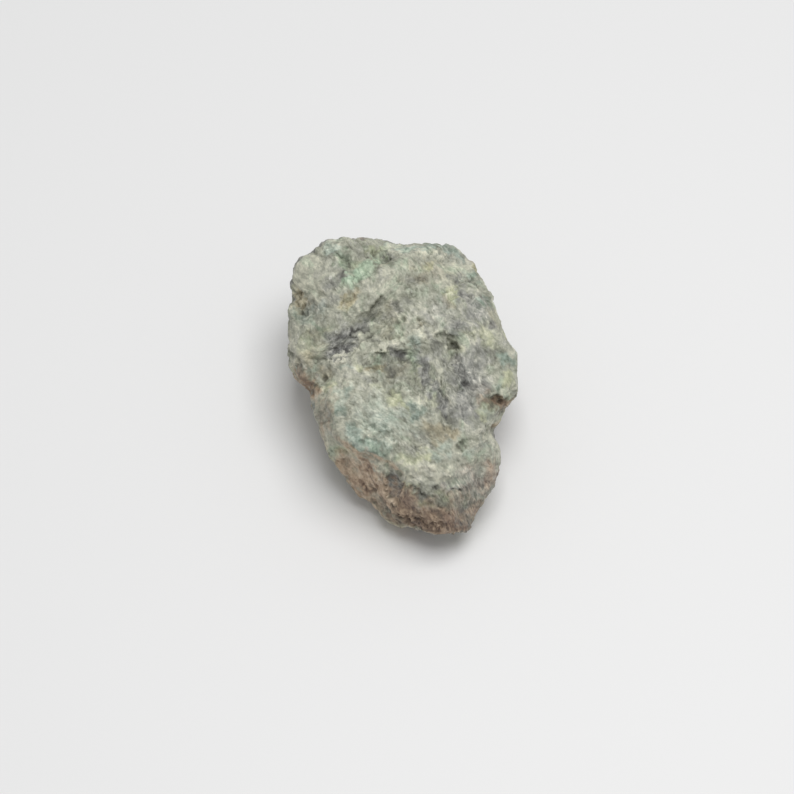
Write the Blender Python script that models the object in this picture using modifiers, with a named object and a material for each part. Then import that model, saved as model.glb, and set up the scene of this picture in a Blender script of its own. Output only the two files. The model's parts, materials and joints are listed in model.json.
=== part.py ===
"""Rough emerald: one lump of emerald-bearing mica schist, about 47 mm long, as broken from the rock.

The stone lies on a small flat spot, +Z up, +Y along its length, with its origin under its middle.
It starts as a ball, which becomes a block with many flat faces and softened edges. Its rim is drawn to
the outline that it shows from one side. Its ledges, gullies, knobs and pits are then pushed in or out.
"""

import math

import bmesh
import bpy
import numpy as np
from mathutils import Vector, noise

MM = 0.001
NAME = "emerald_stone"

# Half the outline and relief below is laid out as seen from here: this far above level, this far off.
VIEW_ELEVATION = math.radians(55)
VIEW_DISTANCE = 450.0

# Height of the stone's middle above its flat spot, and of the band made level with it, in mm.
MIDDLE_HEIGHT = 10.0
LEVEL_BAND = 0.1

# Squares along each side of the ball's six patches, the size in mm of the even squares made from them,
# and the number of triangles when finished.
PATCH_SQUARES = 84
EVEN_SQUARE = 0.4
FINISHED_TRIANGLES = 9400

# The layers of the rock lie square to this direction: degrees round from the right, degrees up.
LAYER_AZIMUTH = 2
LAYER_SLOPE = 42

# Flat faces of the block: direction round the stone (0 right, 90 away), slope up or down, distance in mm.
EDGE_SHARPNESS = 18
FACES = (
    (28, 10, 17.2),
    (356, -4, 15.6),
    (322, 8, 16.6),
    (285, 14, 20.6),
    (233, 6, 14.6),
    (182, 8, 15.4),
    (134, 8, 18.6),
    (93, -2, 21.6),
    (262, 82, 9.9),
    (165, 56, 12.6),
    (104, 52, 15.6),
    (30, 54, 13.2),
    (285, 50, 15.0),
    (222, 54, 12.4),
    (345, 56, 12.4),
    (0, -90, 10.3),
    (200, -42, 11.7),
    (345, -46, 11.6),
    (272, -40, 15.6),
    (80, -36, 16.8),
    (135, -50, 12.6),
    (30, -42, 13.8),
)

# The stone's edge as seen from the view direction: mm to the right and mm up from the middle.
OUTLINE = (
    (16.7, 2.0),
    (16.8, 4.1),
    (15.2, 6.6),
    (14.2, 9.5),
    (12.9, 12.7),
    (11.1, 16.2),
    (8.9, 18.5),
    (7.0, 20.2),
    (4.8, 20.8),
    (1.3, 20.5),
    (-1.0, 20.6),
    (-3.1, 21.3),
    (-5.6, 21.0),
    (-8.3, 22.0),
    (-11.0, 20.9),
    (-13.7, 19.4),
    (-15.6, 17.4),
    (-16.1, 14.6),
    (-15.8, 12.4),
    (-16.6, 10.9),
    (-16.7, 8.0),
    (-16.5, 6.0),
    (-16.8, 3.4),
    (-15.6, 1.2),
    (-13.8, -0.8),
    (-12.9, -3.2),
    (-12.2, -6.0),
    (-11.2, -9.0),
    (-9.6, -12.3),
    (-7.6, -14.8),
    (-4.6, -17.6),
    (-2.2, -19.6),
    (0.4, -20.7),
    (4.0, -21.8),
    (7.4, -21.9),
    (9.8, -20.6),
    (11.2, -18.0),
    (13.2, -15.2),
    (14.4, -12.2),
    (14.3, -9.3),
    (13.2, -7.3),
    (14.0, -5.3),
    (14.8, -3.4),
    (16.3, -2.0),
    (16.8, -0.3),
)

# Ledges on the seen side, each a line with higher ground on its right: height, face width, reach, points.
LEDGES = (
    (1.8, 0.9, 7.0, ((-0.6, 14.4), (-3.2, 12.0), (-5.4, 9.8), (-7.3, 7.9), (-9.3, 6.1), (-16.4, 3.0))),
    (1.3, 0.6, 5.0, ((10.8, 6.2), (7.0, 6.9), (3.4, 5.8), (0.4, 5.1), (-2.0, 4.8), (-4.7, 4.8), (-7.4, 3.6))),
    (1.3, 0.6, 4.0, ((13.4, -9.6), (9.9, -12.6), (6.7, -14.2), (3.4, -13.4), (0.4, -12.6), (-2.5, -10.9))),
    (1.9, 0.8, 5.0, ((2.2, -16.9), (-0.3, -13.2), (-2.8, -10.9), (-7.2, -9.7), (-9.7, -7.0), (-11.8, 0.7))),
    (0.8, 0.6, 3.0, ((9.6, 15.8), (6.8, 15.0), (4.2, 14.4), (0.8, 15.4), (-3.6, 15.2))),
    (0.8, 0.5, 3.0, ((15.6, -1.8), (13.4, 0.2), (12.2, 3.4), (12.8, 6.6))),
    (0.8, 0.6, 3.0, ((2.6, 4.4), (4.0, 0.4), (5.4, -3.0), (7.8, -6.8))),
)

# Gullies (below 0) and ridges (above 0) on the seen side: height, half width, points.
FOLDS = (
    (-0.8, 0.8, ((-2.2, 11.6), (-4.6, 9.0), (-6.8, 6.8), (-9.0, 5.0), (-11.4, 4.1))),
    (0.8, 0.7, ((-1.2, 11.0), (-3.6, 8.2), (-5.8, 5.9), (-8.4, 4.2), (-11.2, 3.0))),
    (0.6, 0.9, ((-4.4, 15.8), (-1.0, 17.4), (3.2, 19.2), (6.2, 19.6))),
    (-0.8, 1.2, ((-7.6, 15.6), (-5.4, 17.2), (-4.2, 18.6))),
    (-0.7, 1.0, ((-1.8, 17.9), (-3.2, 18.8), (-4.0, 20.6))),
    (-0.5, 0.8, ((-0.6, 13.4), (2.0, 15.2), (5.8, 15.4))),
    (-0.7, 0.6, ((7.7, 3.2), (8.8, 0.6), (9.8, -1.4))),
    (-0.6, 0.6, ((3.2, 4.4), (5.0, 0.2), (6.6, -3.6))),
    (0.5, 0.6, ((5.2, 3.4), (6.8, -0.4), (8.0, -3.8))),
    (-0.5, 0.6, ((9.9, -1.5), (10.9, -3.8), (11.7, -6.0))),
    (-0.4, 0.6, ((9.6, 13.6), (11.2, 10.6), (12.6, 7.8))),
    (-0.4, 0.6, ((5.8, 12.0), (7.6, 9.4), (9.0, 7.6))),
    (-0.6, 0.9, ((-2.4, -12.4), (-1.2, -14.8), (0.4, -17.4))),
    (-0.7, 1.0, ((-12.8, 0.2), (-11.8, 1.4), (-11.4, 2.6))),
    (-0.6, 0.7, ((-14.8, 13.0), (-14.4, 11.6), (-13.8, 10.4))),
    (0.6, 0.9, ((3.8, -15.6), (5.8, -17.8), (7.4, -20.0))),
    (-0.5, 0.7, ((6.6, -15.4), (8.2, -17.2), (9.4, -19.0))),
)

# Knobs (above 0) and pits (below 0) on the seen side: mm right, mm up, half length, half width, lean, height.
SPOTS = (
    (-8.2, 21.0, 2.4, 1.8, 0, 0.8),
    (-12.6, 16.8, 4.0, 3.4, 30, 0.7),
    (-2.1, 18.1, 1.2, 1.0, 0, -1.0),
    (0.1, 4.3, 1.8, 1.0, 20, -1.0),
    (7.1, 6.2, 1.5, 0.9, -50, -0.9),
    (8.7, 0.8, 1.4, 1.0, -60, -0.8),
    (1.5, 5.9, 1.2, 0.9, 0, 0.6),
    (-6.4, -3.2, 4.6, 3.6, 40, 0.8),
    (-1.6, -6.8, 4.0, 3.0, 20, 0.6),
    (1.2, -1.2, 2.6, 2.0, 60, 0.5),
    (8.3, -9.2, 1.3, 1.0, 0, -0.8),
    (15.6, 4.6, 1.8, 1.5, -60, 0.9),
    (15.2, 1.2, 1.8, 1.5, 0, 0.7),
    (14.4, -2.6, 1.6, 1.0, 20, -0.9),
    (13.0, -7.4, 1.5, 1.0, 20, -0.9),
    (-4.3, -15.2, 1.4, 0.9, -40, -0.8),
    (0.4, -19.4, 1.2, 0.8, -20, -0.6),
    (2.8, -19.8, 1.2, 0.8, -20, -0.5),
    (-15.6, 2.6, 2.2, 1.8, 0, 0.6),
    (-16.0, 9.4, 1.8, 1.6, 90, 0.7),
)

# Lumps (above 0) and hollows (below 0) all round: azimuth, slope, half length, half width, lean, height.
ROUND = (
    (60, 18, 7.0, 4.5, 20, -1.5),
    (100, 6, 5.0, 4.0, 60, 1.2),
    (128, -10, 5.5, 3.5, -30, -1.4),
    (165, -22, 6.0, 4.0, 10, 1.1),
    (205, -30, 7.0, 3.5, 30, -1.3),
    (20, -24, 6.0, 4.0, 50, -1.3),
    (340, -20, 5.0, 3.5, 0, 1.0),
    (300, -26, 6.0, 3.5, -20, -1.2),
    (262, -14, 4.5, 3.0, 30, 0.8),
    (75, -34, 6.0, 4.0, 0, -1.2),
    (0, 12, 3.5, 2.6, 80, -0.9),
    (42, -2, 4.0, 3.0, -40, 0.9),
    (150, 14, 4.0, 2.6, 30, -1.0),
    (110, -58, 5.0, 3.6, 0, 0.9),
    (250, -56, 5.5, 3.6, 60, -0.8),
    (10, -60, 5.0, 3.4, 30, -0.9),
)

# Steps where layers broke off on the sides that face away: azimuth, slope, half length, height.
BREAKS = (
    (48, 22, 7.0, 0.8),
    (66, -8, 8.0, -0.9),
    (92, 24, 6.0, 0.8),
    (118, 10, 7.0, -0.8),
    (142, -14, 7.0, 0.8),
    (172, -6, 6.0, -0.8),
    (14, -14, 6.0, 0.8),
    (350, -32, 6.0, -0.8),
    (318, -14, 6.0, 0.8),
    (230, -20, 7.0, 0.8),
    (200, -8, 5.0, -0.7),
    (280, -34, 7.0, -0.8),
)

# Small pits on the sides that face away: azimuth, slope, half width, depth.
PITS = (
    (34, 4, 1.2, 0.9),
    (56, -14, 1.4, 1.0),
    (72, 10, 1.0, 0.8),
    (88, -16, 1.3, 0.9),
    (106, 22, 1.1, 0.8),
    (122, -24, 1.2, 0.8),
    (146, 2, 1.0, 0.8),
    (178, 4, 1.2, 0.9),
    (196, -18, 1.1, 0.8),
    (218, -12, 1.3, 0.9),
    (244, -22, 1.0, 0.7),
    (292, -12, 1.2, 0.8),
    (312, 2, 1.1, 0.8),
    (336, -6, 1.3, 0.9),
    (4, -22, 1.2, 0.8),
)

# The outline is met in sectors, which start off the ball's own rows of points, as a share of one sector.
SECTOR_START = 0.37

# Ledges and folds wander sideways by up to this far, over this length, in mm.
WANDER = 0.9
WANDER_SIZE = 3.2

# Uneven broken surface: size of the swells and grains and how high they stand, in mm.
SWELL_SIZE = 6.5
SWELL_HEIGHT = 0.75
GRAIN_SIZE = 3.0
GRAIN_HEIGHT = 0.3
GRAIN_FLATNESS = 2.2
LAYER_GAP = 2.6
LAYER_HEIGHT = 0.34

ROCK_COLOUR = (0.29, 0.31, 0.25)
ROCK_ROUGHNESS = 0.75


def unit(azimuth, slope):
    """Unit vector at an azimuth from +X and a slope up from level, both in degrees."""
    azimuth, slope = math.radians(azimuth), math.radians(slope)
    level = math.cos(slope)
    return np.array((level * math.cos(azimuth), level * math.sin(azimuth), math.sin(slope)))


def smooth_step(low, high, value):
    t = np.clip((value - low) / (high - low), 0, 1)
    return t * t * (3 - 2 * t)


# The view's directions to its right, up in its picture and towards the eye.
VIEW = np.array(
    (
        (1, 0, 0),
        (0, math.sin(VIEW_ELEVATION), math.cos(VIEW_ELEVATION)),
        (0, -math.cos(VIEW_ELEVATION), math.sin(VIEW_ELEVATION)),
    )
)
LAYER = unit(LAYER_AZIMUTH, LAYER_SLOPE)


def seen(points):
    """Where points appear in the view, in mm on a plane through the stone's middle."""
    turned = points @ VIEW.T
    return turned[:, :2] * (VIEW_DISTANCE / (VIEW_DISTANCE - turned[:, 2]))[:, None]


def ball_of_squares():
    """A ball made from a cube whose six faces are cut into even squares."""
    ball = bmesh.new()
    bmesh.ops.create_cube(ball, size=2)
    bmesh.ops.subdivide_edges(ball, edges=ball.edges[:], cuts=PATCH_SQUARES - 1, use_grid_fill=True)
    for vertex in ball.verts:
        vertex.co = Vector([math.tan(side * math.pi / 4) for side in vertex.co]).normalized()
    return ball


def places(ball):
    return np.array([vertex.co for vertex in ball.verts])


def normals(ball, points):
    for vertex, place in zip(ball.verts, points):
        vertex.co = place
    ball.normal_update()
    return np.round([vertex.normal for vertex in ball.verts], 6)


def faceted_block(directions):
    """The many-sided block: its flat faces, blended where they meet."""
    reach = np.zeros(len(directions))
    for azimuth, slope, distance in FACES:
        facing = directions @ unit(azimuth, slope) / distance
        reach += np.clip(facing, 0, None) ** EDGE_SHARPNESS
    return np.round(directions * (reach ** (-1 / EDGE_SHARPNESS))[:, None], 6)


def drawn_to_outline(points, sectors=180):
    """Moves the rim in or out until it meets OUTLINE. Each bend of the outline fades in from the rim."""
    flat = seen(points)
    angle = np.arctan2(flat[:, 1], flat[:, 0])
    edge = np.array(OUTLINE)
    edge_radius = np.hypot(edge[:, 0], edge[:, 1])
    edge_radius = np.interp(angle, np.arctan2(edge[:, 1], edge[:, 0]), edge_radius, period=2 * math.pi)
    share = np.hypot(flat[:, 0], flat[:, 1]) / edge_radius
    sector = np.floor(angle / (2 * math.pi) * sectors - SECTOR_START).astype(int) % sectors
    widest = np.zeros(sectors)
    np.maximum.at(widest, sector, share)
    middle = (np.arange(sectors) + SECTOR_START + 0.5) / sectors * 2 * math.pi
    waves = np.fft.rfft(1 / widest) / sectors
    inward = np.clip(share / np.interp(angle, middle, widest, period=2 * math.pi), 0, 1)
    scale = np.full(len(points), waves[0].real)
    for count in range(1, sectors // 2):
        turn = np.exp(1j * count * (angle - middle[0]))
        scale += 2 * (waves[count] * turn).real * inward**count
    turned = points @ VIEW.T
    turned[:, :2] *= scale[:, None]
    return np.round(turned @ VIEW, 6)


def from_line(flat, line):
    """Distance to the right of a line of points, and how far along it, from 0 to 1."""
    line = np.array(line)
    chord = line[-1] - line[0]
    length = math.hypot(*chord)
    heading = chord / length
    rightward = np.array((heading[1], -heading[0]))
    stations = (line - line[0]) @ heading
    travel = (flat - line[0]) @ heading
    bend = np.interp(travel, stations, (line - line[0]) @ rightward)
    return (flat - line[0]) @ rightward - bend, travel / length


def tapered(along, share=0.16):
    return smooth_step(0, share, along) * smooth_step(0, share, 1 - along)


def wandering(points):
    """Small sideways shifts, so that ledges and folds wander as they do in broken rock."""
    spots = [Vector(point) / WANDER_SIZE for point in points]
    sideways = [noise.noise(spot) for spot in spots]
    upwards = [noise.noise(spot + Vector((5, 8, 2))) for spot in spots]
    return WANDER * np.array((sideways, upwards)).T


def seen_relief(points, facing):
    """Height of the ledges, folds and spots on the side towards the view."""
    flat = seen(points) + wandering(points)
    height = np.zeros(len(points))
    for rise, width, reach, line in LEDGES:
        gap, along = from_line(flat, line)
        height += rise / 2 * np.tanh(gap / width) * np.exp(-np.abs(gap) / reach) * tapered(along)
    for rise, width, line in FOLDS:
        gap, along = from_line(flat, line)
        height += rise * np.exp(-((gap / width) ** 2)) * tapered(along)
    for right, up, long, wide, lean, rise in SPOTS:
        lean = math.radians(lean)
        heading = np.array((math.cos(lean), math.sin(lean)))
        offset = flat - (right, up)
        lengthwise = offset @ heading / long
        across = (offset[:, 1] * heading[0] - offset[:, 0] * heading[1]) / wide
        height += rise * np.exp(-(lengthwise**2) - across**2)
    return height * smooth_step(-0.05, 0.35, facing)


def surface_spot(points, azimuth, slope):
    """The point of the surface that lies in one direction from the middle."""
    reach = points / np.linalg.norm(points, axis=1)[:, None]
    return points[np.argmax(reach @ unit(azimuth, slope))]


def round_relief(points, away):
    """Height of the lumps, hollows, breaks and pits on the other sides."""
    height = np.zeros(len(points))
    for azimuth, slope, long, wide, lean, rise in ROUND:
        centre = surface_spot(points, azimuth, slope)
        outward = unit(azimuth, slope)
        level = unit(azimuth + 90, 0)
        upward = np.cross(outward, level)
        lean = math.radians(lean)
        heading = level * math.cos(lean) + upward * math.sin(lean)
        offset = points - centre
        lengthwise = offset @ heading / long
        across = offset @ np.cross(outward, heading) / wide
        inward = offset @ outward / long
        height += rise * np.exp(-(lengthwise**2) - across**2 - inward**2)
    for azimuth, slope, long, rise in BREAKS:
        offset = points - surface_spot(points, azimuth, slope)
        beside = offset @ LAYER
        gap = np.linalg.norm(offset, axis=1)
        fade = np.exp(-((gap / long) ** 2))
        height += rise * np.tanh(beside / 0.7) * fade
    for azimuth, slope, wide, depth in PITS:
        gap = np.linalg.norm(points - surface_spot(points, azimuth, slope), axis=1)
        height -= depth * np.exp(-((gap / wide) ** 2))
    return height * away


def broken_texture(points):
    """Swells, grains and layer edges of the broken rock, as height in mm."""
    height = np.empty(len(points))
    for index, point in enumerate(points):
        place = Vector(point)
        swell = noise.fractal(place / SWELL_SIZE, 1.0, 2.0, 2)
        flattened = place + Vector(LAYER) * (place.dot(Vector(LAYER)) * (GRAIN_FLATNESS - 1))
        grain = noise.noise(flattened / GRAIN_SIZE + Vector((7, 3, 1)))
        drift = 1.3 * noise.noise(place / 5.0 + Vector((2, 9, 4)))
        layer = (place.dot(Vector(LAYER)) + drift) / LAYER_GAP
        tooth = layer - math.floor(layer)
        tooth = min(tooth / 0.75, (1 - tooth) / 0.25) - 0.5
        fade = 0.5 + 0.5 * noise.noise(place / 7.0)
        height[index] = SWELL_HEIGHT * swell + GRAIN_HEIGHT * grain + LAYER_HEIGHT * tooth * fade
    return height


def shaped_stone():
    """The ball pushed into the stone's shape, in mm round the stone's middle."""
    ball = ball_of_squares()
    points = drawn_to_outline(faceted_block(places(ball)))
    outward = normals(ball, points)
    points = points + outward * broken_texture(points)[:, None]
    points = drawn_to_outline(points)
    outward = normals(ball, points)
    facing = outward @ VIEW[2]
    away = smooth_step(0.25, -0.1, facing)
    relief = seen_relief(points, facing) + round_relief(points, away)
    points = points + outward * relief[:, None]
    for _ in range(2):
        points = drawn_to_outline(points)
    return ball, points


def rock_material():
    material = bpy.data.materials.new("grey-green mica rock")
    material.use_nodes = True
    surface = material.node_tree.nodes["Principled BSDF"]
    surface.inputs["Base Color"].default_value = (*ROCK_COLOUR, 1)
    surface.inputs["Roughness"].default_value = ROCK_ROUGHNESS
    surface.inputs["Metallic"].default_value = 0
    return material


def changed_by(modifier_type, mesh, **settings):
    """A copy of the mesh as one modifier leaves it."""
    surface = bpy.data.objects.new("surface", mesh)
    bpy.context.scene.collection.objects.link(surface)
    modifier = surface.modifiers.new(modifier_type, modifier_type)
    for name, value in settings.items():
        setattr(modifier, name, value)
    graph = bpy.context.evaluated_depsgraph_get()
    changed = bpy.data.meshes.new_from_object(surface.evaluated_get(graph))
    bpy.data.objects.remove(surface)
    return changed


def in_order(mesh):
    """The mesh as triangles, its points and faces in order of place, so that each run thins it alike."""
    spots = [tuple(round(side / MM, 4) for side in vertex.co) for vertex in mesh.vertices]
    order = sorted(range(len(spots)), key=spots.__getitem__)
    number = {old: new for new, old in enumerate(order)}
    triangles = []
    for face in mesh.polygons:
        corners = [number[vertex] for vertex in face.vertices]
        first = corners.index(min(corners))
        corners = corners[first:] + corners[:first]
        triangles += [(corners[0], *pair) for pair in zip(corners[1:], corners[2:])]
    ordered = bpy.data.meshes.new("ordered surface")
    ordered.from_pydata([Vector(spots[old]) * MM for old in order], [], sorted(triangles))
    return ordered


def thinned(ball):
    """The shaped surface, first made even, then with large triangles on flats and small ones at ledges."""
    shaped = bpy.data.meshes.new("shaped surface")
    ball.to_mesh(shaped)
    even = in_order(changed_by("REMESH", shaped, mode="VOXEL", voxel_size=EVEN_SQUARE * MM))
    fewer = changed_by("DECIMATE", even, ratio=FINISHED_TRIANGLES / len(even.polygons))
    solid = bmesh.new()
    solid.from_mesh(fewer)
    return solid


def levelled(solid):
    """Makes the underside's flat spot exactly level, so that the stone stands on one flat face."""
    for vertex in solid.verts:
        if vertex.co.z < LEVEL_BAND * MM:
            vertex.co.z = 0


def centred(solid):
    """Moves the stone so that the origin is under the middle of its length and width."""
    corners = np.array([vertex.co for vertex in solid.verts])
    middle = (corners.min(axis=0) + corners.max(axis=0)) / 2
    bmesh.ops.translate(solid, verts=solid.verts[:], vec=(-middle[0], -middle[1], 0))
    return middle[:2]


def main():
    for thing in list(bpy.data.objects):
        bpy.data.objects.remove(thing)
    ball, points = shaped_stone()
    points = np.round(points + (0, 0, MIDDLE_HEIGHT), 4)
    points[:, 2] = np.maximum(points[:, 2], 0)
    for vertex, place in zip(ball.verts, points):
        vertex.co = Vector(place) * MM
    solid = thinned(ball)
    levelled(solid)
    middle = centred(solid)
    print("The view's middle is", [round(-each / MM, 3) for each in middle], "mm from the origin")
    mesh = bpy.data.meshes.new(NAME)
    solid.to_mesh(mesh)
    mesh.shade_smooth()
    stone = bpy.data.objects.new(NAME, mesh)
    mesh.materials.append(rock_material())
    holder = bpy.data.collections.new(NAME)
    bpy.context.scene.collection.children.link(holder)
    holder.objects.link(stone)


main()
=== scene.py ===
# %% [markdown]
# # A rough emerald
# This stone is a lump of mica schist, a rock of thin shiny layers, in which green emerald has grown. It was
# broken from the rock and never cut or polished. The measured solid already has its lobes, ledges and
# gullies. This script gives that solid a finer surface, the colours of its minerals, and soft light to see
# them by. A sculpting brush could do much of it too, but a rule in code can be read, changed and run again.
# All lengths here are in millimetres unless a name says otherwise, and the solid is in metres.

# %% The measured solid
import json
import math

import bpy
import numpy as np
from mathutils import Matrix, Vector, noise

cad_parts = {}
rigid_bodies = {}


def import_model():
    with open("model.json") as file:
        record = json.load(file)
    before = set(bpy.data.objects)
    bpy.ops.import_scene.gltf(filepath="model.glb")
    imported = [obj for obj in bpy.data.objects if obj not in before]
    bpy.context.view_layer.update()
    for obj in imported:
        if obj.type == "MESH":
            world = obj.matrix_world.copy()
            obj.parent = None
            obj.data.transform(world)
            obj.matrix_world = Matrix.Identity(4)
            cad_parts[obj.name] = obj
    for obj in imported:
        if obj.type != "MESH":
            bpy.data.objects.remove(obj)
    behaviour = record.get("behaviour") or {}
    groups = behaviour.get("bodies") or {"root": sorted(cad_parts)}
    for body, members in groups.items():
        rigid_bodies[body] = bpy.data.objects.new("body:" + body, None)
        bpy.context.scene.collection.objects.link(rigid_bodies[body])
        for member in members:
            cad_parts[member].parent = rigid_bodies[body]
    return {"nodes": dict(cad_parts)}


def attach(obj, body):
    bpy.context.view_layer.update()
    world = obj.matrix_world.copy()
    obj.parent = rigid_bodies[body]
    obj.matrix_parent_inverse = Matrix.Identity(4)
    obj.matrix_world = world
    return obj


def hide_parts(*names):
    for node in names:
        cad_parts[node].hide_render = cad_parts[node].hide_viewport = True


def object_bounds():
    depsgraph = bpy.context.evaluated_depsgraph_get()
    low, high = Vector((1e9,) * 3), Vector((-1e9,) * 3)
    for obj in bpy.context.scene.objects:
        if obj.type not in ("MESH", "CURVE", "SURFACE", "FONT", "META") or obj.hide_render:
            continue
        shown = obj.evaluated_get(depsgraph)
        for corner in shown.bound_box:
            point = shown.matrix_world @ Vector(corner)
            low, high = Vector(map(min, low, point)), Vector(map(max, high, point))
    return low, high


for thing in list(bpy.data.objects):
    bpy.data.objects.remove(thing)
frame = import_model()
solid_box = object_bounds()
rough_solid = frame["nodes"]["emerald_stone"]
MM = 0.001
print("solid:", [round((high - low) / MM, 1) for low, high in zip(*solid_box)], "mm")

# %% [markdown]
# ## Where the stone is looked at from
# One side of the stone is known well, from a direction 55 degrees above level. Marks on that side are
# placed as they would be on a flat drawing of it: so many mm to the right of the middle and so many up.
# Such places are easier to read off than places in space, and the camera later looks from the same way.
# `seen` gives that place for any point of the surface, with the slight perspective of a lens 450 mm away.

# %% The direction of view
VIEW_SLOPE = math.radians(55)
VIEW_DISTANCE = 450.0
MIDDLE = np.array((0.007, -0.249, 10.0))

TO_RIGHT = np.array((1, 0, 0))
TO_TOP = np.array((0, math.sin(VIEW_SLOPE), math.cos(VIEW_SLOPE)))
TO_EYE = np.array((0, -math.cos(VIEW_SLOPE), math.sin(VIEW_SLOPE)))


def seen(points):
    """Mm to the right and mm up, as the points appear from the direction of view."""
    from_middle = points - MIDDLE
    nearer = VIEW_DISTANCE / (VIEW_DISTANCE - from_middle @ TO_EYE)
    return np.stack((from_middle @ TO_RIGHT * nearer, from_middle @ TO_TOP * nearer), axis=1)


print("looked at from", round(math.degrees(VIEW_SLOPE)), "degrees above level")

# %% [markdown]
# ## A fine surface over the solid
# The solid has under ten thousand triangles, so its flat facets show close up. Rock has no such facets but
# much finer roughness. A voxel remesh covers the same form with an even net of small squares, and a few
# rounds of smoothing take the facets out. Subdividing the solid would keep the pattern of its triangles,
# and an even net lets each later step push every point in or out by the same rule.

# %% The even net
NET_SIZE = 0.24
SMOOTHING_ROUNDS = 5


def as_changed_by(mesh, *changes):
    """A new mesh: this one after a row of modifiers, each given as its type and its settings."""
    holder = bpy.data.objects.new("holder", mesh)
    bpy.context.scene.collection.objects.link(holder)
    for kind, settings in changes:
        modifier = holder.modifiers.new(kind, kind)
        for name, value in settings.items():
            setattr(modifier, name, value)
    view_layer = bpy.context.evaluated_depsgraph_get()
    changed = bpy.data.meshes.new_from_object(holder.evaluated_get(view_layer))
    bpy.data.objects.remove(holder)
    return changed


net = as_changed_by(
    rough_solid.data.copy(),
    ("REMESH", {"mode": "VOXEL", "voxel_size": NET_SIZE * MM}),
    ("SMOOTH", {"factor": 0.5, "iterations": SMOOTHING_ROUNDS}),
)
print("net:", len(net.vertices), "points,", len(net.polygons), "squares")

# %% [markdown]
# The steps below are sums over all points at once, so the net becomes two plain tables: where each point
# is, and which four points each square joins. The remesh numbers its points in no fixed order. Sorting
# both tables by place makes every run of the script build exactly the same stone.

# %% The net as two tables
def in_fixed_order(mesh):
    """The mesh's points in mm and its squares, both sorted by where they are."""
    places = np.empty(len(mesh.vertices) * 3, np.float32)
    mesh.vertices.foreach_get("co", places)
    places = np.round(places.reshape(-1, 3).astype(float) / MM, 4)
    corners = np.empty(len(mesh.loops), np.int32)
    mesh.loops.foreach_get("vertex_index", corners)
    order = np.lexsort(places.T)
    new_number = np.empty(len(order), int)
    new_number[order] = np.arange(len(order))
    squares = new_number[corners].reshape(-1, 4)
    first = squares.argmin(axis=1)
    squares = np.take_along_axis(squares, (first[:, None] + np.arange(4)) % 4, axis=1)
    return places[order], squares[np.lexsort(squares.T[::-1])]


net_points, squares = in_fixed_order(net)
sides = np.concatenate([squares[:, [i, (i + 1) % 4]] for i in range(4)])
print("first point:", net_points[0], "first square:", squares[0])

# %% [markdown]
# Two small helpers do most of the later work. `outward` finds the direction in which the surface faces at
# each point. `evened` replaces each point's value by the mean of its neighbours' values, a number of times,
# which tells the broad form from the fine. Blender's own normals and smoothing would do the same for the
# mesh, and these work on any table of values.

# %% Facing and evening
def outward(points):
    """The direction, of length 1, in which the surface faces at each point."""
    first, second, third, fourth = (points[squares[:, i]] for i in range(4))
    facing = np.repeat(np.cross(third - first, fourth - second), 4, axis=0)
    summed = [np.bincount(squares.ravel(), facing[:, i], len(points)) for i in range(3)]
    summed = np.stack(summed, axis=1)
    return summed / np.linalg.norm(summed, axis=1)[:, None]


neighbour_count = np.bincount(sides[:, 0], minlength=len(net_points))


def evened(values, rounds):
    """The values after each point has taken its neighbours' mean this many times."""
    for _ in range(rounds):
        columns = values.reshape(len(values), -1).T
        sums = [np.bincount(sides[:, 0], column[sides[:, 1]], len(column)) for column in columns]
        values = (np.stack(sums, axis=1) / neighbour_count[:, None]).reshape(values.shape)
    return values


broad_facing = outward(evened(net_points, 12))
toward_eye = broad_facing @ TO_EYE
print("points that face the view:", int((toward_eye > 0).sum()))

# %% [markdown]
# ## The layers of the rock
# Mica schist is a pile of thin layers, and this pile is folded: the layers bend over the stone like a thick
# blanket over a heap. Three flat slopes, joined softly, describe the fold well enough. `FOLD_FACES` says
# which way each slope faces, in degrees round the view, and `layer_depth` is the height through the pile.
# A broad wave on top keeps the layers from lying as straight as boards. Flat layers without a fold would
# be simpler, but they would cut the ledges of the known side at the wrong angle.

# %% The folded layers
FOLD_FACES = (125, 30, -128)
SIDEWAYS, OUTWARDS = 0.75, 0.66
FOLD_SOFTNESS = 1.6
WAVE_HEIGHT, WAVE_SIZE = 1.0, 5.0

face_turns = np.radians(FOLD_FACES)
face_sides = np.outer(np.cos(face_turns), TO_RIGHT) + np.outer(np.sin(face_turns), TO_TOP)
face_ways = SIDEWAYS * face_sides + OUTWARDS * TO_EYE
from_middle = net_points - MIDDLE
face_heights = from_middle @ face_ways.T
layer_depth = FOLD_SOFTNESS * np.log(np.exp(face_heights / FOLD_SOFTNESS).sum(axis=1))
layer_depth += WAVE_HEIGHT * np.array([noise.noise(place) for place in (net_points / WAVE_SIZE).tolist()])
print("depth through the layers:", round(layer_depth.min(), 1), "to", round(layer_depth.max(), 1), "mm")

# %% [markdown]
# Within each layer the mica lies in fibres, which run down to the right in the view. `in_rock` gives every
# point three numbers: along the fibres, across them, and through the layers. A random pattern that is long
# in the first and short in the last follows the rock round the whole stone. A pattern laid on in the view
# alone would smear on the sides. `cloudy` is that pattern, and its last number picks one of many.

# %% Along the fibres
FIBRE_LEAN = math.radians(-54)
ALONG_FIBRES = math.cos(FIBRE_LEAN) * TO_RIGHT + math.sin(FIBRE_LEAN) * TO_TOP
ACROSS_FIBRES = np.cross(TO_EYE, ALONG_FIBRES)
NEXT_PATTERN = 31.7

in_rock = np.stack((from_middle @ ALONG_FIBRES, from_middle @ ACROSS_FIBRES, layer_depth), axis=1)


def lump_size(size, stretch):
    """Length along the fibres, width across them within the layer, and thickness of a lump."""
    return size * stretch, size * stretch**0.4, size


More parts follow.
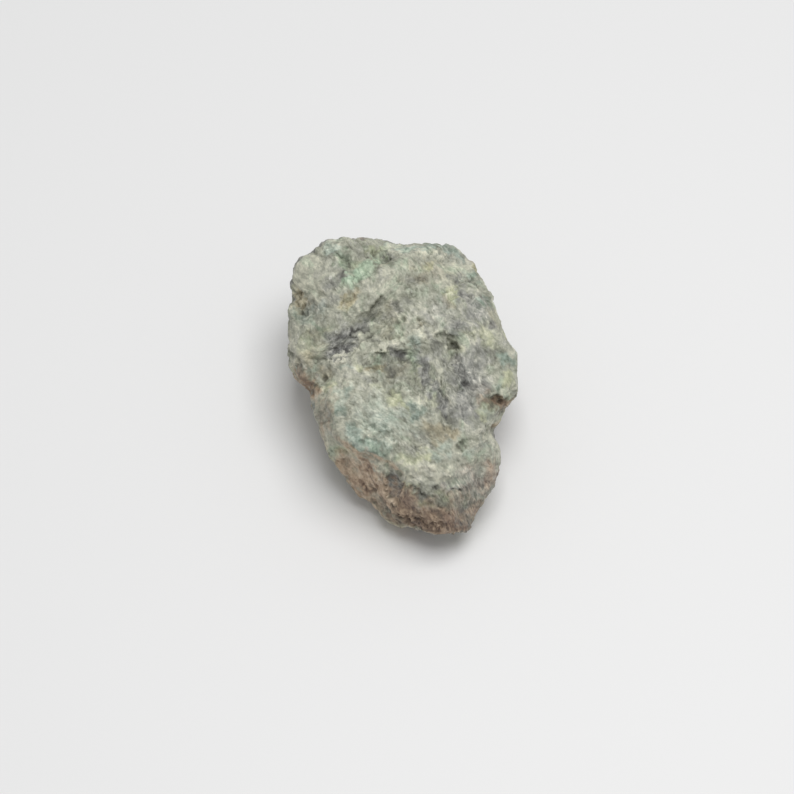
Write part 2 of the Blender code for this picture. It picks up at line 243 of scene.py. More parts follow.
def cloudy(size, stretch=1.0, number=0):
    """Soft random values, about -1 to 1, in lumps this thick that are drawn out along the fibres."""
    lumps = in_rock / lump_size(size, stretch) + NEXT_PATTERN * number + 0.5
    return 2.0 * np.array([noise.noise(lump) for lump in lumps.tolist()])


print("length along the fibres:", round(np.ptp(in_rock[:, 0]), 1), "mm")

# %% [markdown]
# ## Marks with a place of their own
# The known side has ledges, hollows and patches of mineral at definite places. Each is written as one row:
# right and up in the view, half its length, half its width, and its lean, which is the angle of its length
# above level. `mark` turns a row into a soft-edged oval. The places are first shifted by soft random
# amounts of three sizes, so that no mark has the clean edge of a drawn ellipse, and marks fade out where
# the surface turns away from the view. Painting them with a brush would work too, but needs a stored image.

# %% Soft ovals in the view
ROUND_THE_EDGE = 0.25
RAGGEDNESS = ((2.0, 0.6), (0.7, 0.35), (0.35, 0.15))

in_view = seen(net_points)


def wandering(size, shift):
    """A soft random shift of every place, as far as about `shift` mm, that changes over `size` mm."""
    places = net_points / size
    ways = [[noise.noise(place) for place in (places + start).tolist()] for start in (7.0, 77.0)]
    return shift * (2.0 * np.array(ways).T)


def smooth_step(values, low, high):
    """0 below `low`, 1 above `high`, and a soft slope between them."""
    share = np.clip((values - low) / (high - low), 0, 1)
    return share * share * (3 - 2 * share)


ragged_view = sum((wandering(size, shift) for size, shift in RAGGEDNESS), in_view)
on_known_side = smooth_step(toward_eye, -0.05, ROUND_THE_EDGE)
elsewhere = 1 - on_known_side


def mark(right, up, half_length, half_width, lean=0.0):
    """1 in the middle of the oval, 0 beyond its edge."""
    turn = math.radians(lean)
    from_centre = ragged_view - (right, up)
    along = from_centre @ (math.cos(turn), math.sin(turn)) / half_length
    across = from_centre @ (-math.sin(turn), math.cos(turn)) / half_width
    return np.clip(1 - 0.6 * (along**2 + across**2), 0, 1) ** 2 * on_known_side


print("points on the known side:", int((on_known_side > 0.5).sum()))

# %% [markdown]
# ## Relief
# Broken schist is rough at every size, and differently in different places. Where mica is rich, long thin
# fibres stand out. On the pale rounded lobes they hardly show. `fibrous` says how strongly, from 0 to 1. A
# bump in the material alone would be quicker, but moving real points keeps the roughness in the shape
# itself, also at the outline.

# %% Where the rock is fibrous
FIBROUS_PLACES = (
    (9.5, 0.5, 5, 6, -60), (4, -0.5, 3, 5, -60), (9.5, -15.5, 5, 6, 0), (-3, -14.5, 7, 3, -45),
    (3, -20, 6, 2, -20), (10.5, 9.5, 4, 4, 0), (-8.5, 5.5, 5, 2.5, 25), (2, 10, 5, 3, 0),
)

fibrous = np.maximum.reduce([mark(*place) for place in FIBROUS_PLACES])
fibrous = fibrous * (0.4 + 0.6 * smooth_step(toward_eye, 0.1, 0.6))
fibrous = np.maximum(fibrous, 0.3 * elsewhere * smooth_step(cloudy(9.0, 1.0, 3), -0.1, 0.6))
print("fibrous:", round(100 * (fibrous > 0.3).mean()), "% of the surface")

# %% [markdown]
# Two patterns make the rock look broken and not modelled in clay. `scooped` is what is left where grains
# and chips came away: shallow scoops, each with its own tilt, that meet in sharp ridges. `stepped` climbs
# slowly and drops at once, again and again, as the ends of broken layers do. Soft noise can give neither,
# because it has no sharp edges.

# %% Scoops and broken layers
HOLLOWNESS, TILT = 0.4, 0.8
CLIMB, FALL = 0.8, 0.2


def scooped(size, stretch, number):
    """Heights in mm of scoops about as wide as `size`."""
    shift = np.stack([cloudy(size * 0.7, stretch, number + extra) for extra in (0, 1, 2)], axis=1)
    places = in_rock / lump_size(size, stretch) + 0.35 * shift + 17.3 * number
    heights = []
    for place in map(Vector, places.tolist()):
        scoops = []
        for middle in noise.voronoi(place)[1]:
            away = place - middle
            tilt = noise.cell_vector(middle * 53.1) - Vector((0.5, 0.5, 0.5))
            scoops.append(HOLLOWNESS * away.length_squared + TILT * away.dot(tilt))
        heights.append(min(scoops))
    return size * np.array(heights)


def stepped(gap, number):
    """Values from -1 to 1 that climb and drop at the edge of each broken layer."""
    heights = layer_depth / gap + 0.9 * cloudy(gap * 2.2, 3.0, number)
    share = heights - np.floor(heights)
    return 2 * np.minimum(share / CLIMB, (1 - share) / FALL) - 1


small_scoops = scooped(0.9, 1.5, 50)
print("small scoops:", round(np.ptp(small_scoops), 2), "mm from lowest to highest")

# %% [markdown]
# The relief is a sum. Each line below is a height in mm times a pattern, and a pattern's numbers are its
# size in mm, how far it is drawn out along the fibres, and which pattern it is. Swells some 3 mm wide make
# each lobe uneven. The fibres are ridges 1 mm wide. Steps and big scoops are stronger on the sides that no
# drawing describes, because nothing else shapes those. Grains of half a millimetre come last.

# %% Swells, fibres and grains
swells = 0.16 * cloudy(3.4, 1.3, 4) + 0.08 * cloudy(1.7, 1.4, 18)
ridged = 1 - 2 * np.abs(cloudy(0.8, 4.0, 5))
fibres = 0.07 * fibrous * ridged + (0.02 + 0.06 * fibrous) * cloudy(1.2, 3.0, 6)
step_height = 0.04 + 0.06 * fibrous + 0.16 * elsewhere
steps = step_height * stepped(1.6, 8) * smooth_step(cloudy(4.0, 1.0, 19), -0.4, 0.3)
scoops = 0.30 * scooped(2.2, 1.5, 40) + 0.30 * small_scoops + 0.30 * elsewhere * scooped(4.5, 1.1, 60)
grains = 0.045 * cloudy(0.5, 1.4, 7)
lift = swells + fibres + steps + scoops + grains
print("relief:", round(lift.min(), 2), "to", round(lift.max(), 2), "mm")

# %% [markdown]
# The hollows on the known side are where crystals fell out or the layers parted, and they look black
# because little light reaches their floor. They are pressed in as deep narrow marks, with their depth at
# the end of the row. The bright rims beside them are edges of harder layers, raised a little. Dark paint
# in place of a hollow would look flat as soon as the light moves.

# %% Hollows and rims
HOLLOWS = (
    (-15.2, 13.2, 0.9, 0.6, -60, 0.9), (-14.5, 11.4, 1, 0.4, -70, 0.7), (-2.2, 18.2, 0.8, 0.6, 0, 0.7),
    (-8.5, 18.2, 0.8, 0.5, 0, 0.4), (2.8, 15.4, 1.3, 0.6, 0, 0.6), (1.4, 13.3, 0.9, 0.5, 70, 0.4),
    (-9.2, 5.4, 1.6, 0.5, 42, 0.5), (-6.6, 7.2, 1.4, 0.6, 45, 0.4), (-3.4, 11.6, 0.9, 0.5, 50, 0.6),
    (-0.3, 4.4, 1.2, 0.9, -65, 0.6), (0.6, 3.2, 0.6, 0.5, 0, 0.3), (7.6, 5.3, 1.2, 0.5, 75, 0.7),
    (8.5, 1.2, 0.55, 0.45, -20, 0.8), (9.4, 0.1, 0.55, 0.45, -40, 0.8), (8.2, 2.3, 0.45, 0.35, -60, 0.4),
    (-11.5, 3.8, 0.8, 0.5, -20, 0.4), (-12.2, 0, 0.7, 0.45, -70, 0.4), (-1.2, 2.3, 0.7, 0.3, -10, 0.4),
    (-1.9, 1.4, 0.9, 0.4, -40, 0.4), (3.4, 0.7, 0.9, 0.5, -70, 0.4), (2.9, 3, 1.2, 0.5, -65, 0.3),
    (5.3, -1.6, 1.1, 0.5, -60, 0.5), (5.9, -3, 1, 0.45, -65, 0.4), (6.8, -5.1, 0.9, 0.5, -20, 0.4),
    (7.7, -3.9, 1, 0.3, -65, 0.4), (13.1, -6.5, 0.7, 0.5, 20, 0.6), (14.3, -2.4, 1.2, 0.7, 10, 0.7),
    (13, -1.5, 0.8, 0.35, -40, 0.4), (8.9, -8.9, 0.95, 0.6, -20, 0.6), (8.4, -10, 0.4, 0.35, 0, 0.5),
    (2.5, -9.3, 0.4, 0.35, 0, 0.4), (-2.6, -11.5, 0.5, 0.4, 0, 0.5), (-0.7, -12.3, 0.8, 0.4, -30, 0.4),
    (0.3, -13.1, 0.6, 0.4, 0, 0.4), (-1.3, -14.9, 1.7, 0.6, -60, 0.6), (2.9, -15.4, 0.8, 0.5, 0, 0.6),
    (5.6, -15.8, 0.8, 0.4, -20, 0.5), (5, -17, 1.2, 0.4, -25, 0.4), (-5.6, -14.8, 1, 0.35, -35, 0.4),
    (-4, -15.2, 1.1, 0.4, -20, 0.4), (7, -14.8, 0.8, 0.4, -20, 0.4), (8.3, -15.2, 0.6, 0.3, -50, 0.3),
    (7, -19.3, 0.6, 0.45, 0, 0.4), (0.2, -19.8, 0.6, 0.4, 0, 0.5), (2.7, -20.4, 0.8, 0.3, -30, 0.4),
    (3.6, -20.7, 0.6, 0.3, -20, 0.3), (5, -20.8, 0.8, 0.35, -10, 0.3), (-2.2, -18.2, 0.7, 0.35, -40, 0.4),
    (-0.8, -18.9, 0.9, 0.35, -35, 0.4), (9, -21.1, 0.8, 0.45, -10, 0.3), (10.2, -17, 0.8, 0.45, -70, 0.3),
    (-0.7, 11.3, 0.4, 0.35, 0, 0.3), (-1, 13, 0.4, 0.35, 0, 0.3), (3.4, 9, 0.45, 0.3, 0, 0.3),
    (2.4, 12, 0.4, 0.35, 0, 0.3), (-4, -10.3, 0.8, 0.35, -10, 0.4), (-9.3, 16, 0.9, 0.7, 60, 0.4),
    (-7.9, 12.4, 0.5, 0.4, 0, 0.3),
)
RIMS = (
    (-8.2, 4.4, 2, 0.5, 35, 0.3), (-3.2, 6, 1, 0.4, 20, 0.3), (-1.2, 6.8, 1.4, 0.35, 25, 0.25),
    (2.8, 8.3, 2, 0.4, 8, 0.25), (4.9, 19, 1.3, 0.5, -25, 0.3), (7.7, 17, 1.6, 0.8, -20, 0.25),
    (6.7, 13.2, 0.8, 0.7, 80, 0.3), (9.5, 5.2, 1.4, 0.45, 80, 0.25), (-1.6, -7.9, 1.2, 0.35, -8, 0.25),
    (3.7, -12.4, 2.6, 0.6, -15, 0.3), (6.6, -12.6, 1.6, 0.5, -5, 0.25), (9, -6, 1.2, 0.4, -20, 0.3),
    (10.6, -6.7, 0.9, 0.3, -15, 0.25), (-7.7, -0.3, 0.8, 0.5, 60, 0.2), (11.6, -4.6, 1, 0.4, -70, 0.2),
    (15.3, 1, 1.1, 0.9, 0, 0.25), (10.4, 15.8, 1.2, 0.9, 20, 0.25), (-7.7, 21.2, 0.8, 0.6, 30, 0.2),
    (-5.3, 17, 1.6, 0.6, 35, 0.2), (10.8, -8.8, 0.9, 0.4, -20, 0.2), (5, -19.6, 3, 0.3, -18, 0.2),
)
SHARE_OF_DEPTH = 0.75
CHIP_DEPTH = 0.35

hollowed = np.maximum.reduce([SHARE_OF_DEPTH * depth * mark(*place) for *place, depth in HOLLOWS])
raised = np.maximum.reduce([height * mark(*place) for *place, height in RIMS])
chips = CHIP_DEPTH * smooth_step(cloudy(2.6, 1.6, 9), 0.55, 0.95)
chips = chips * smooth_step(cloudy(1.0, 1.0, 10), -0.2, 0.4)
lift = lift + raised - hollowed - chips
print("deepest hollow:", round(-lift.min(), 2), "mm")

# %% [markdown]
# Where a harder layer ends, the rock breaks in a small cliff. Each of these edges is its drop in mm, how far
# the lower ground reaches, and a row of points in the view. The lower ground is on the right, walking along
# the row. The surface drops sharply there and climbs back slowly, which throws the thin shadow of an edge.

# %% Broken edges
EDGES = (
    (0.3, 2.2, ((-12.2, 5.2), (-10.9, 6.3), (-9.5, 8), (-7.6, 8.8), (-6.1, 9.8), (-4.3, 12.2), (-2.6, 13.2))),
    (0.35, 1.4, ((-1.2, 11.6), (-2.2, 10.3), (-3.7, 9.2), (-4.9, 8.1), (-7, 6.1), (-9, 4.3), (-11.2, 3.1))),
    (0.6, 1.2, ((-4.4, 4.3), (-1.9, 5.2), (0.1, 6.3), (2.4, 7.2), (4.5, 7.7), (6.4, 7.9), (8, 7.4))),
    (0.5, 0.7, ((-0.8, -17.6), (-1.9, -15.8), (-2.7, -14), (-2.8, -12.8))),
    (0.25, 0.9, ((0.8, -15.2), (2.4, -15.3), (4.5, -15.5), (6.2, -15.2), (7.6, -15.3), (9.2, -14.9))),
    (0.35, 0.9, ((7.6, -5.2), (9.5, -5.9), (11.5, -7.2), (13, -9))),
    (0.4, 1, ((7.2, -5.6), (6.4, -4.6), (5.6, -3.2), (5, -1.8), (4.3, 0))),
    (0.35, 0.9, ((3.3, -0.8), (3.1, 1), (2.8, 2.5), (2.2, 4.2))),
    (0.5, 1, ((7.8, 4), (7, 5.2), (6.8, 7), (6.3, 8.6))),
    (0.6, 1.2, ((12.5, -1.3), (13.6, -1.6), (15, -1.9), (16.4, -1.6))),
    (0.35, 1, ((-10.2, 13.9), (-8, 14.4), (-6, 15.5), (-4, 17.1), (-2.6, 18.3))),
    (0.4, 1, ((-1, -18.5), (1.5, -19.8), (4, -20.4), (7, -20.5))),
    (0.35, 0.9, ((9.6, -0.8), (8.8, 0.8), (8, 2.4), (7.8, 3.6))),
    (0.4, 0.9, ((2, 19), (4.2, 18.9), (5.8, 18.3), (7.4, 18.6))),
    (0.3, 0.8, ((-4.6, 2.9), (-3, 2.7), (-1.2, 2.8), (0.4, 2.4))),
)
CLIFF_WIDTH = 0.38
LIP_WIDTH, LIP_SHARE = 0.5, 0.25
END_FADE = (-0.3, 1.0)
FARTHEST_REACH = 3.5


def broken_edge(drop, reach, line):
    """The height that one edge takes away below it and adds just above it."""
    nearest = np.full(len(ragged_view), np.inf)
    side = np.zeros(len(ragged_view))
    for start, end in zip(np.array(line[:-1]), np.array(line[1:])):
        step = end - start
        from_start = ragged_view - start
        share = np.clip(from_start @ step / (step @ step), 0, 1)
        gap = from_start - share[:, None] * step
        distance = np.hypot(*gap.T)
        closer = distance < nearest
        nearest[closer] = distance[closer]
        side[closer] = np.sign(from_start @ (step[1], -step[0]))[closer]
    start, end = np.array(line[0]), np.array(line[-1])
    length = np.linalg.norm(end - start)
    along = (ragged_view - start) @ (end - start) / length
    ends = smooth_step(along, *END_FADE) * smooth_step(length - along, *END_FADE)
    cliff = smooth_step(nearest, -CLIFF_WIDTH, CLIFF_WIDTH) * np.exp(-nearest / reach)
    below = np.where(side > 0, cliff, 0)
    above = np.where(side <= 0, np.exp(-nearest / LIP_WIDTH), 0)
    near = nearest < FARTHEST_REACH * reach
    return near * ends * on_known_side * (LIP_SHARE * above - below) * drop


edge_relief = sum(broken_edge(*edge) for edge in EDGES)
lift = lift + edge_relief
print("edges:", len(EDGES), "with drops to", round(-edge_relief.min(), 2), "mm")

# %% [markdown]
# The stone rests on a small worn flat. It stays exactly where it is, so the relief fades to nothing near
# the ground. After the move, every point that would lie outside the solid's own box is brought back to its
# side: a stone that grew would no longer fit the place that was measured for it.

# %% The finished shape
MEAN_LIFT = 0.10
GROUND_BAND = (0.02, 1.2)

off_the_ground = smooth_step(net_points[:, 2], *GROUND_BAND)
lift = (lift - lift.mean() + MEAN_LIFT) * off_the_ground
stone_points = net_points + outward(evened(net_points, 2)) * lift[:, None]
stone_points = np.clip(stone_points, np.array(solid_box[0]) / MM, np.array(solid_box[1]) / MM)
print("moved by", round(lift.min(), 2), "to", round(lift.max(), 2), "mm")

# %% [markdown]
# The tables become a mesh again. Changing the measured solid would be shorter, but it has to stay as it is,
# for collisions. So the finished stone is an object of its own that replaces the solid and rides on the same
# body. Its points are close enough for smooth shading.

# %% The stone as a piece
def as_mesh(name, points):
    """A mesh of the squares, with its points at these places in mm."""
    mesh = bpy.data.meshes.new(name)
    mesh.from_pydata((points * MM).tolist(), [], squares.tolist())
    mesh.shade_smooth()
    return mesh


stone = bpy.data.objects.new("rough_emerald", as_mesh("rough_emerald", stone_points))
bpy.context.scene.collection.objects.link(stone)
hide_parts("emerald_stone")
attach(stone, "root")
print("stone:", len(stone.data.polygons), "squares")

# %% [markdown]
# ## Where each mineral shows
# The ground colour is a pale green-grey schist. Over it lie zones of other minerals, and a zone is one
# number from 0 to 1 at each point. On the known side a zone is rows of ovals as above, with a strength at
# the end of each row. The rest of the stone has the same minerals in soft random zones, so it looks like one
# rock from all sides. A painted image would fix the detail at one size, and a few ovals with ragged borders
# stay sharp at any.

# %% Laying zones on the stone
def placed(rows):
    """The strongest of these ovals at each point."""
    return np.maximum.reduce([strength * mark(*place) ** 0.5 for *place, strength in rows])


def wild(size, number, start, full):
    """Random zones of this size for the sides that no row describes. They begin and are full at two heights
    of the random pattern, so a zone with a high start is rare."""
    return elsewhere * smooth_step(cloudy(size, 1.6, number), start, full)


def tell(*names):
    """Prints how much of the stone each zone covers."""
    for name in names:
        print(name, "covers", round(100 * (zones[name] > 0.4).mean()), "% of the surface")


zones = {"fibrous": fibrous}
tell("fibrous")

# %% [markdown]
# Emerald gives the stone its name. Here it is cloudy and grown into the rock, so it shows as blue-green
# patches and not as clear crystals. The paler mint green is emerald with much white mineral in it.

# %% Emerald and mint
EMERALD = (
    (-2.5, -5.6, 3.6, 1.8, 0, 0.65), (-8.8, -3, 1.4, 1.8, 0, 0.7), (-4, -4.5, 4, 3.4, -40, 0.45),
    (-1.8, -8.2, 2.6, 1.6, 0, 0.45), (-7.6, 13.5, 1.4, 0.8, 40, 0.4), (-11.8, 10.6, 1.6, 1.4, 0, 0.5),
    (-10.7, 19.6, 1.4, 0.9, 30, 0.7), (0.5, 19.8, 1.3, 0.6, 0, 0.8), (4.2, 20.1, 2.8, 0.7, 0, 0.8),
    (7.8, 19.2, 1.4, 0.9, -30, 0.7), (-7.1, 15.6, 1.9, 1, 30, 0.5), (-4.9, 17.1, 1.8, 0.9, 35, 0.3),
    (-1.2, 20.6, 1.6, 0.5, 10, 0.6), (10.2, 15.8, 1.4, 1.2, 20, 0.6), (12.2, 12.8, 1.3, 1, -60, 0.7),
    (15.4, 3.8, 1.9, 1, -10, 0.9), (13.8, -0.5, 1.2, 0.8, 0, 0.6), (-13, 2.4, 1.4, 0.6, 10, 0.5),
    (-8.6, 2.9, 1.2, 0.6, 0, 0.6), (-7.8, -1.4, 1.3, 0.8, 80, 0.7), (-8.8, -3.8, 1.3, 1.1, 60, 0.8),
    (-6.9, -7, 1.7, 1, -30, 0.9), (-6.4, -8.1, 1.4, 0.8, -20, 1), (-4.6, -9.1, 1.8, 1.1, -20, 1),
    (-3.7, -9, 1.6, 0.8, 80, 1), (1.8, -4.3, 1.6, 1.1, 20, 0.8), (3.2, -4.2, 1, 0.6, 0, 0.6),
    (5.3, -10.2, 1.7, 1, -30, 0.6), (6.2, -8.7, 1.5, 0.9, 0, 0.5), (12, -9, 1.3, 0.9, -30, 0.5),
    (9.8, -10.2, 1.2, 0.7, 0, 0.6), (1.6, 6.3, 1.6, 0.9, 80, 0.6), (-14.8, 10, 1.8, 1.4, 0, 0.5),
    (-8.9, 18.7, 1.5, 1.2, 0, 0.25), (-2.5, 3.9, 1.3, 0.8, 0, 0.4), (0.8, -6.6, 2, 1.2, 0, 0.45),
)
MINT = (
    (-8.4, 17.8, 1.7, 1.4, 0, 0.5), (-3.2, 18.4, 1.4, 0.9, 0, 0.4), (-7.1, 15.6, 2.1, 1.1, 30, 1),
    (-4.9, 17.1, 2, 1, 35, 0.8), (-6.1, 16.2, 2.6, 1.1, 34, 0.9), (-4.5, -9.1, 1.8, 1, -20, 0.5),
    (10.2, 15.8, 1.4, 1.2, 20, 0.3), (0.5, 19.8, 1.3, 0.7, 0, 0.4), (-3.7, 3.2, 1.4, 0.8, 0, 0.3),
    (1, -2.6, 2.2, 1.2, 0, 0.35), (-2.8, 19.6, 2, 0.9, 10, 0.4), (12.6, -3.8, 1.6, 1, -70, 0.5),
    (1.5, 4.6, 2.2, 1, -70, 0.4),
)
zones["emerald"] = placed(EMERALD) + 0.55 * wild(5.0, 11, 0.25, 0.8)
zones["mint"] = placed(MINT) + 0.4 * wild(4.0, 21, 0.35, 0.9)
tell("emerald", "mint")

# %% [markdown]
# Mica is the dark grey of the rock. It lies in long patches along the fibres and on the faces of the steps,
# where a layer split off. Crust is the yellow-green film that weather leaves on the edges.

# %% Mica and weathered crust
MICA = (
    (5.5, 11, 3, 2.4, 0, 0.55), (7.7, 8.8, 2, 1.4, 0, 0.7), (1.6, 9.8, 1.6, 1, 0, 0.5),
    (-11.8, 10.9, 1.7, 1.4, 0, 0.6), (-9.2, 15.7, 1.4, 1, 60, 0.7), (7.7, 15.2, 1.3, 1, 0, 0.7),
    (9.2, 13, 1.6, 1.3, -60, 0.8), (10.8, 10.5, 2.2, 1.9, 0, 0.9), (11.5, 4.4, 2.2, 2, 0, 0.8),
    (9.6, 1, 4.2, 2.6, -65, 1), (9.3, -3, 3, 2, -60, 1), (3.1, 2.4, 3.4, 1, -68, 1),
    (5.5, -2.4, 3.2, 1.2, -64, 1), (-0.4, 4.4, 1.4, 1.2, -60, 1), (-8.8, 6.2, 3.2, 1.9, 42, 1),
    (-5.4, 8.8, 2.8, 1.1, 50, 0.8), (-10.2, 15, 1.4, 1.4, 0, 0.7), (-0.7, 11.4, 0.9, 0.7, 0, 0.6),
    (13.5, 8.9, 1.2, 0.8, -60, 0.8), (10.5, -14.5, 4.2, 3.6, 0, 0.7), (7, -14.6, 1.5, 0.8, 0, 0.9),
    (-1.3, -14.9, 2.4, 0.9, -60, 1), (0.8, -17.1, 1.5, 1, -30, 0.9), (8, -20.3, 2.4, 1.4, -20, 0.9),
    (13, -12.5, 3, 1.6, 80, 0.8), (6.6, 2.4, 2, 1, -60, 0.5), (1.5, 1, 1.6, 0.8, -60, 0.4),
    (-0.5, -9.2, 2, 1, 0, 0.3), (9, -18, 2.5, 1.5, -40, 0.8), (-5, 0.6, 2.4, 1, 0, 0.3),
    (9.2, -6.6, 1.2, 0.7, 0, 0.4), (11, -6.4, 1.4, 0.8, -20, 0.4),
)
CRUST = (
    (7.8, 4, 1.4, 1.2, 0, 0.6), (1.8, 1.2, 1.2, 1.3, 0, 0.5), (-7, 4, 1.2, 1.6, 0, 0.4),
    (-7.6, 17.4, 1.8, 1, 0, 0.55), (-3.6, 18.8, 1.8, 0.9, 0, 0.5), (-8, 12.1, 1.8, 1.2, 20, 0.8),
    (-4, 19.6, 1.5, 0.8, 0, 0.7), (3.3, 17.3, 1.3, 0.7, 0, 0.8), (6.9, 13.2, 1.9, 1.2, 80, 0.85),
    (6.4, 11.7, 1.3, 1.1, 0, 0.4), (11, 7.6, 2.4, 0.8, -10, 0.5), (13.2, 6.4, 1.8, 1, -35, 0.6),
    (15.4, 1, 1.2, 1.1, 0, 0.9), (-6.2, 2.8, 1, 0.9, 0, 0.8), (-10.4, -0.3, 1.6, 0.9, 0, 0.7),
    (-1.4, -2.4, 1.7, 0.9, -25, 0.9), (0, -3.6, 1.4, 0.6, -60, 0.8), (3.1, -10.4, 0.9, 0.9, 0, 0.9),
    (-9.2, -9.4, 1.6, 1, 0, 0.6), (13.4, -10.8, 1, 0.9, 0, 0.7), (1, -15, 1.2, 0.8, 0, 0.8),
    (1.2, -11, 1.8, 0.9, -10, 0.7), (8.7, -19.3, 0.7, 0.6, 0, 0.8), (-4, -1, 1.4, 0.7, 0, 0.5),
    (11.6, -4.6, 1.4, 0.6, -75, 0.8), (9.2, 4.8, 1.8, 0.8, 80, 0.6), (-13.8, 5.8, 2.4, 1.4, 70, 0.5),
    (4.2, -3, 1.6, 0.5, -60, 0.5), (3.2, -16.8, 1, 0.5, 0, 0.6), (6.2, -16.2, 1, 0.5, -20, 0.6),
    (-9.6, -11, 2, 1.2, -50, 0.5), (7.6, 2.8, 1.4, 0.6, 70, 0.5),
)
zones["mica"] = placed(MICA) + 0.9 * wild(8.0, 12, 0.0, 0.5)
zones["crust"] = placed(CRUST) + 0.8 * wild(4.0, 13, 0.2, 0.7)
tell("mica", "crust")

# %% [markdown]
# Iron in the rock rusts. Thin stains are ochre. Where the stone lay in soil, a red-brown earth clings to
# it. The same brown is also painted shade with warm reflected light on the faces that look down, so
# `looks_down` adds to the rows of ovals there.

# %% Iron stain, brown earth and painted shade
STAIN = (
    (4, 16.2, 5, 1.8, 0, 0.35), (-7.9, 12.4, 1.8, 1.1, 20, 1), (-14.2, 3.6, 2.2, 1.8, 0, 0.55),
    (3, 17.6, 3.2, 0.7, 0, 0.45), (13.2, -2.8, 2.2, 0.9, 0, 0.8), (-11.6, 1.6, 1.6, 1, -30, 0.5),
    (-8.2, 12, 1.4, 0.9, 60, 0.7), (-11.8, 7.2, 1.8, 1.5, 0, 0.5), (-13.2, -0.3, 1.9, 1.3, -20, 0.8),
    (-3.8, 2.2, 1.6, 0.7, 0, 0.8), (5.2, -6.6, 2.4, 1.3, -15, 0.7), (7, -7.3, 1.4, 0.8, 0, 0.8),
    (-6.9, -9.3, 1.4, 0.7, -20, 0.9), (2.7, 15.3, 2, 1.1, 0, 0.6), (-15, 12.6, 2.2, 1.2, -65, 0.9),
    (14.6, -2.4, 1.9, 1, 10, 0.9), (11.2, -1, 2, 1.2, -50, 0.6), (13.5, 9.7, 2.2, 0.9, -65, 0.5),
    (-1.8, 8.7, 2.8, 2, 0, 0.4), (-9.8, -8, 2.2, 1, -60, 0.3), (4.6, -7.6, 1.8, 0.8, 0, 0.5),
    (10.8, -11.6, 2, 1, 0, 0.4), (-1.5, 11.5, 2, 1.2, 60, 0.4), (3.2, 8.9, 1, 0.6, 0, 0.5),
    (8.4, 3.2, 1.2, 0.8, -60, 0.5), (-0.6, 1.6, 2, 1.6, 0, 0.4), (-12.5, 4.6, 1.6, 1.2, 0, 0.4),
    (-7.4, 12.8, 1.8, 1.1, 35, 1), (6.4, 12, 1.2, 0.9, 0, 0.7),
)
EARTH_AND_PAINTED_SHADE = (
    (1, -16.4, 2.6, 1.6, -30, 0.75), (6, -18.6, 4, 2.2, -10, 0.7), (-14.2, 1.8, 1.2, 1, 0, 0.7),
    (-8.6, -11.6, 2, 1, -50, 0.9), (-5.2, -12.2, 2, 1.2, -40, 1), (2, -18.8, 3.6, 1.6, -15, 1),
    (-5, -14.2, 3, 1.2, -40, 0.9), (12.4, -2.2, 1.2, 0.9, 0, 0.5), (13.4, -12, 1.2, 2.6, 0, 0.5),
    (4, -20.6, 7, 1.8, -8, 1), (0.2, -17.6, 2.6, 2, 0, 0.8), (10.8, -18.4, 2.6, 1.8, 50, 0.7),
    (-6.4, -14.4, 3.6, 1.6, -40, 1), (12.6, -13.5, 3, 2, 70, 0.6), (-14, 0.4, 1.8, 1.2, -45, 0.9),
    (-12.8, -1.5, 2, 1.4, 80, 0.7), (14.3, -3, 2, 1.2, 20, 0.7), (9, -11.8, 2.4, 1.2, 0, 0.3),
    (-11.6, -4.8, 4.8, 1.5, 88, 0.5), (-5.7, -11.3, 2, 0.9, -35, 0.9), (-6.8, -13.2, 5, 2.2, -45, 0.8),
    (-3, -15.4, 3.8, 1.5, -55, 0.95), (2.5, -19, 4.6, 1.4, -10, 1), (-4.2, -17, 2.8, 1.6, -40, 0.7),
    (11, -14.5, 3.6, 3.6, 0, 0.35), (8.5, -16.5, 3, 2, -30, 0.45),
)
# Faces that look down get the brown as real earth and as painted shade with warm reflected light.
looks_down = -broad_facing @ (0.45 * TO_TOP + np.array((0, 0, 0.7)))
earth_and_shade_below = (0.35 + 0.3 * on_known_side) * smooth_step(looks_down, 0.0, 0.5)
zones["stain"] = placed(STAIN) + 0.8 * wild(7.0, 14, 0.1, 0.6)
zones["earth_and_painted_shade"] = np.maximum(placed(EARTH_AND_PAINTED_SHADE), earth_and_shade_below) + 0.35 * wild(5.0, 20, 0.3, 0.9)
tell("stain", "earth_and_painted_shade")
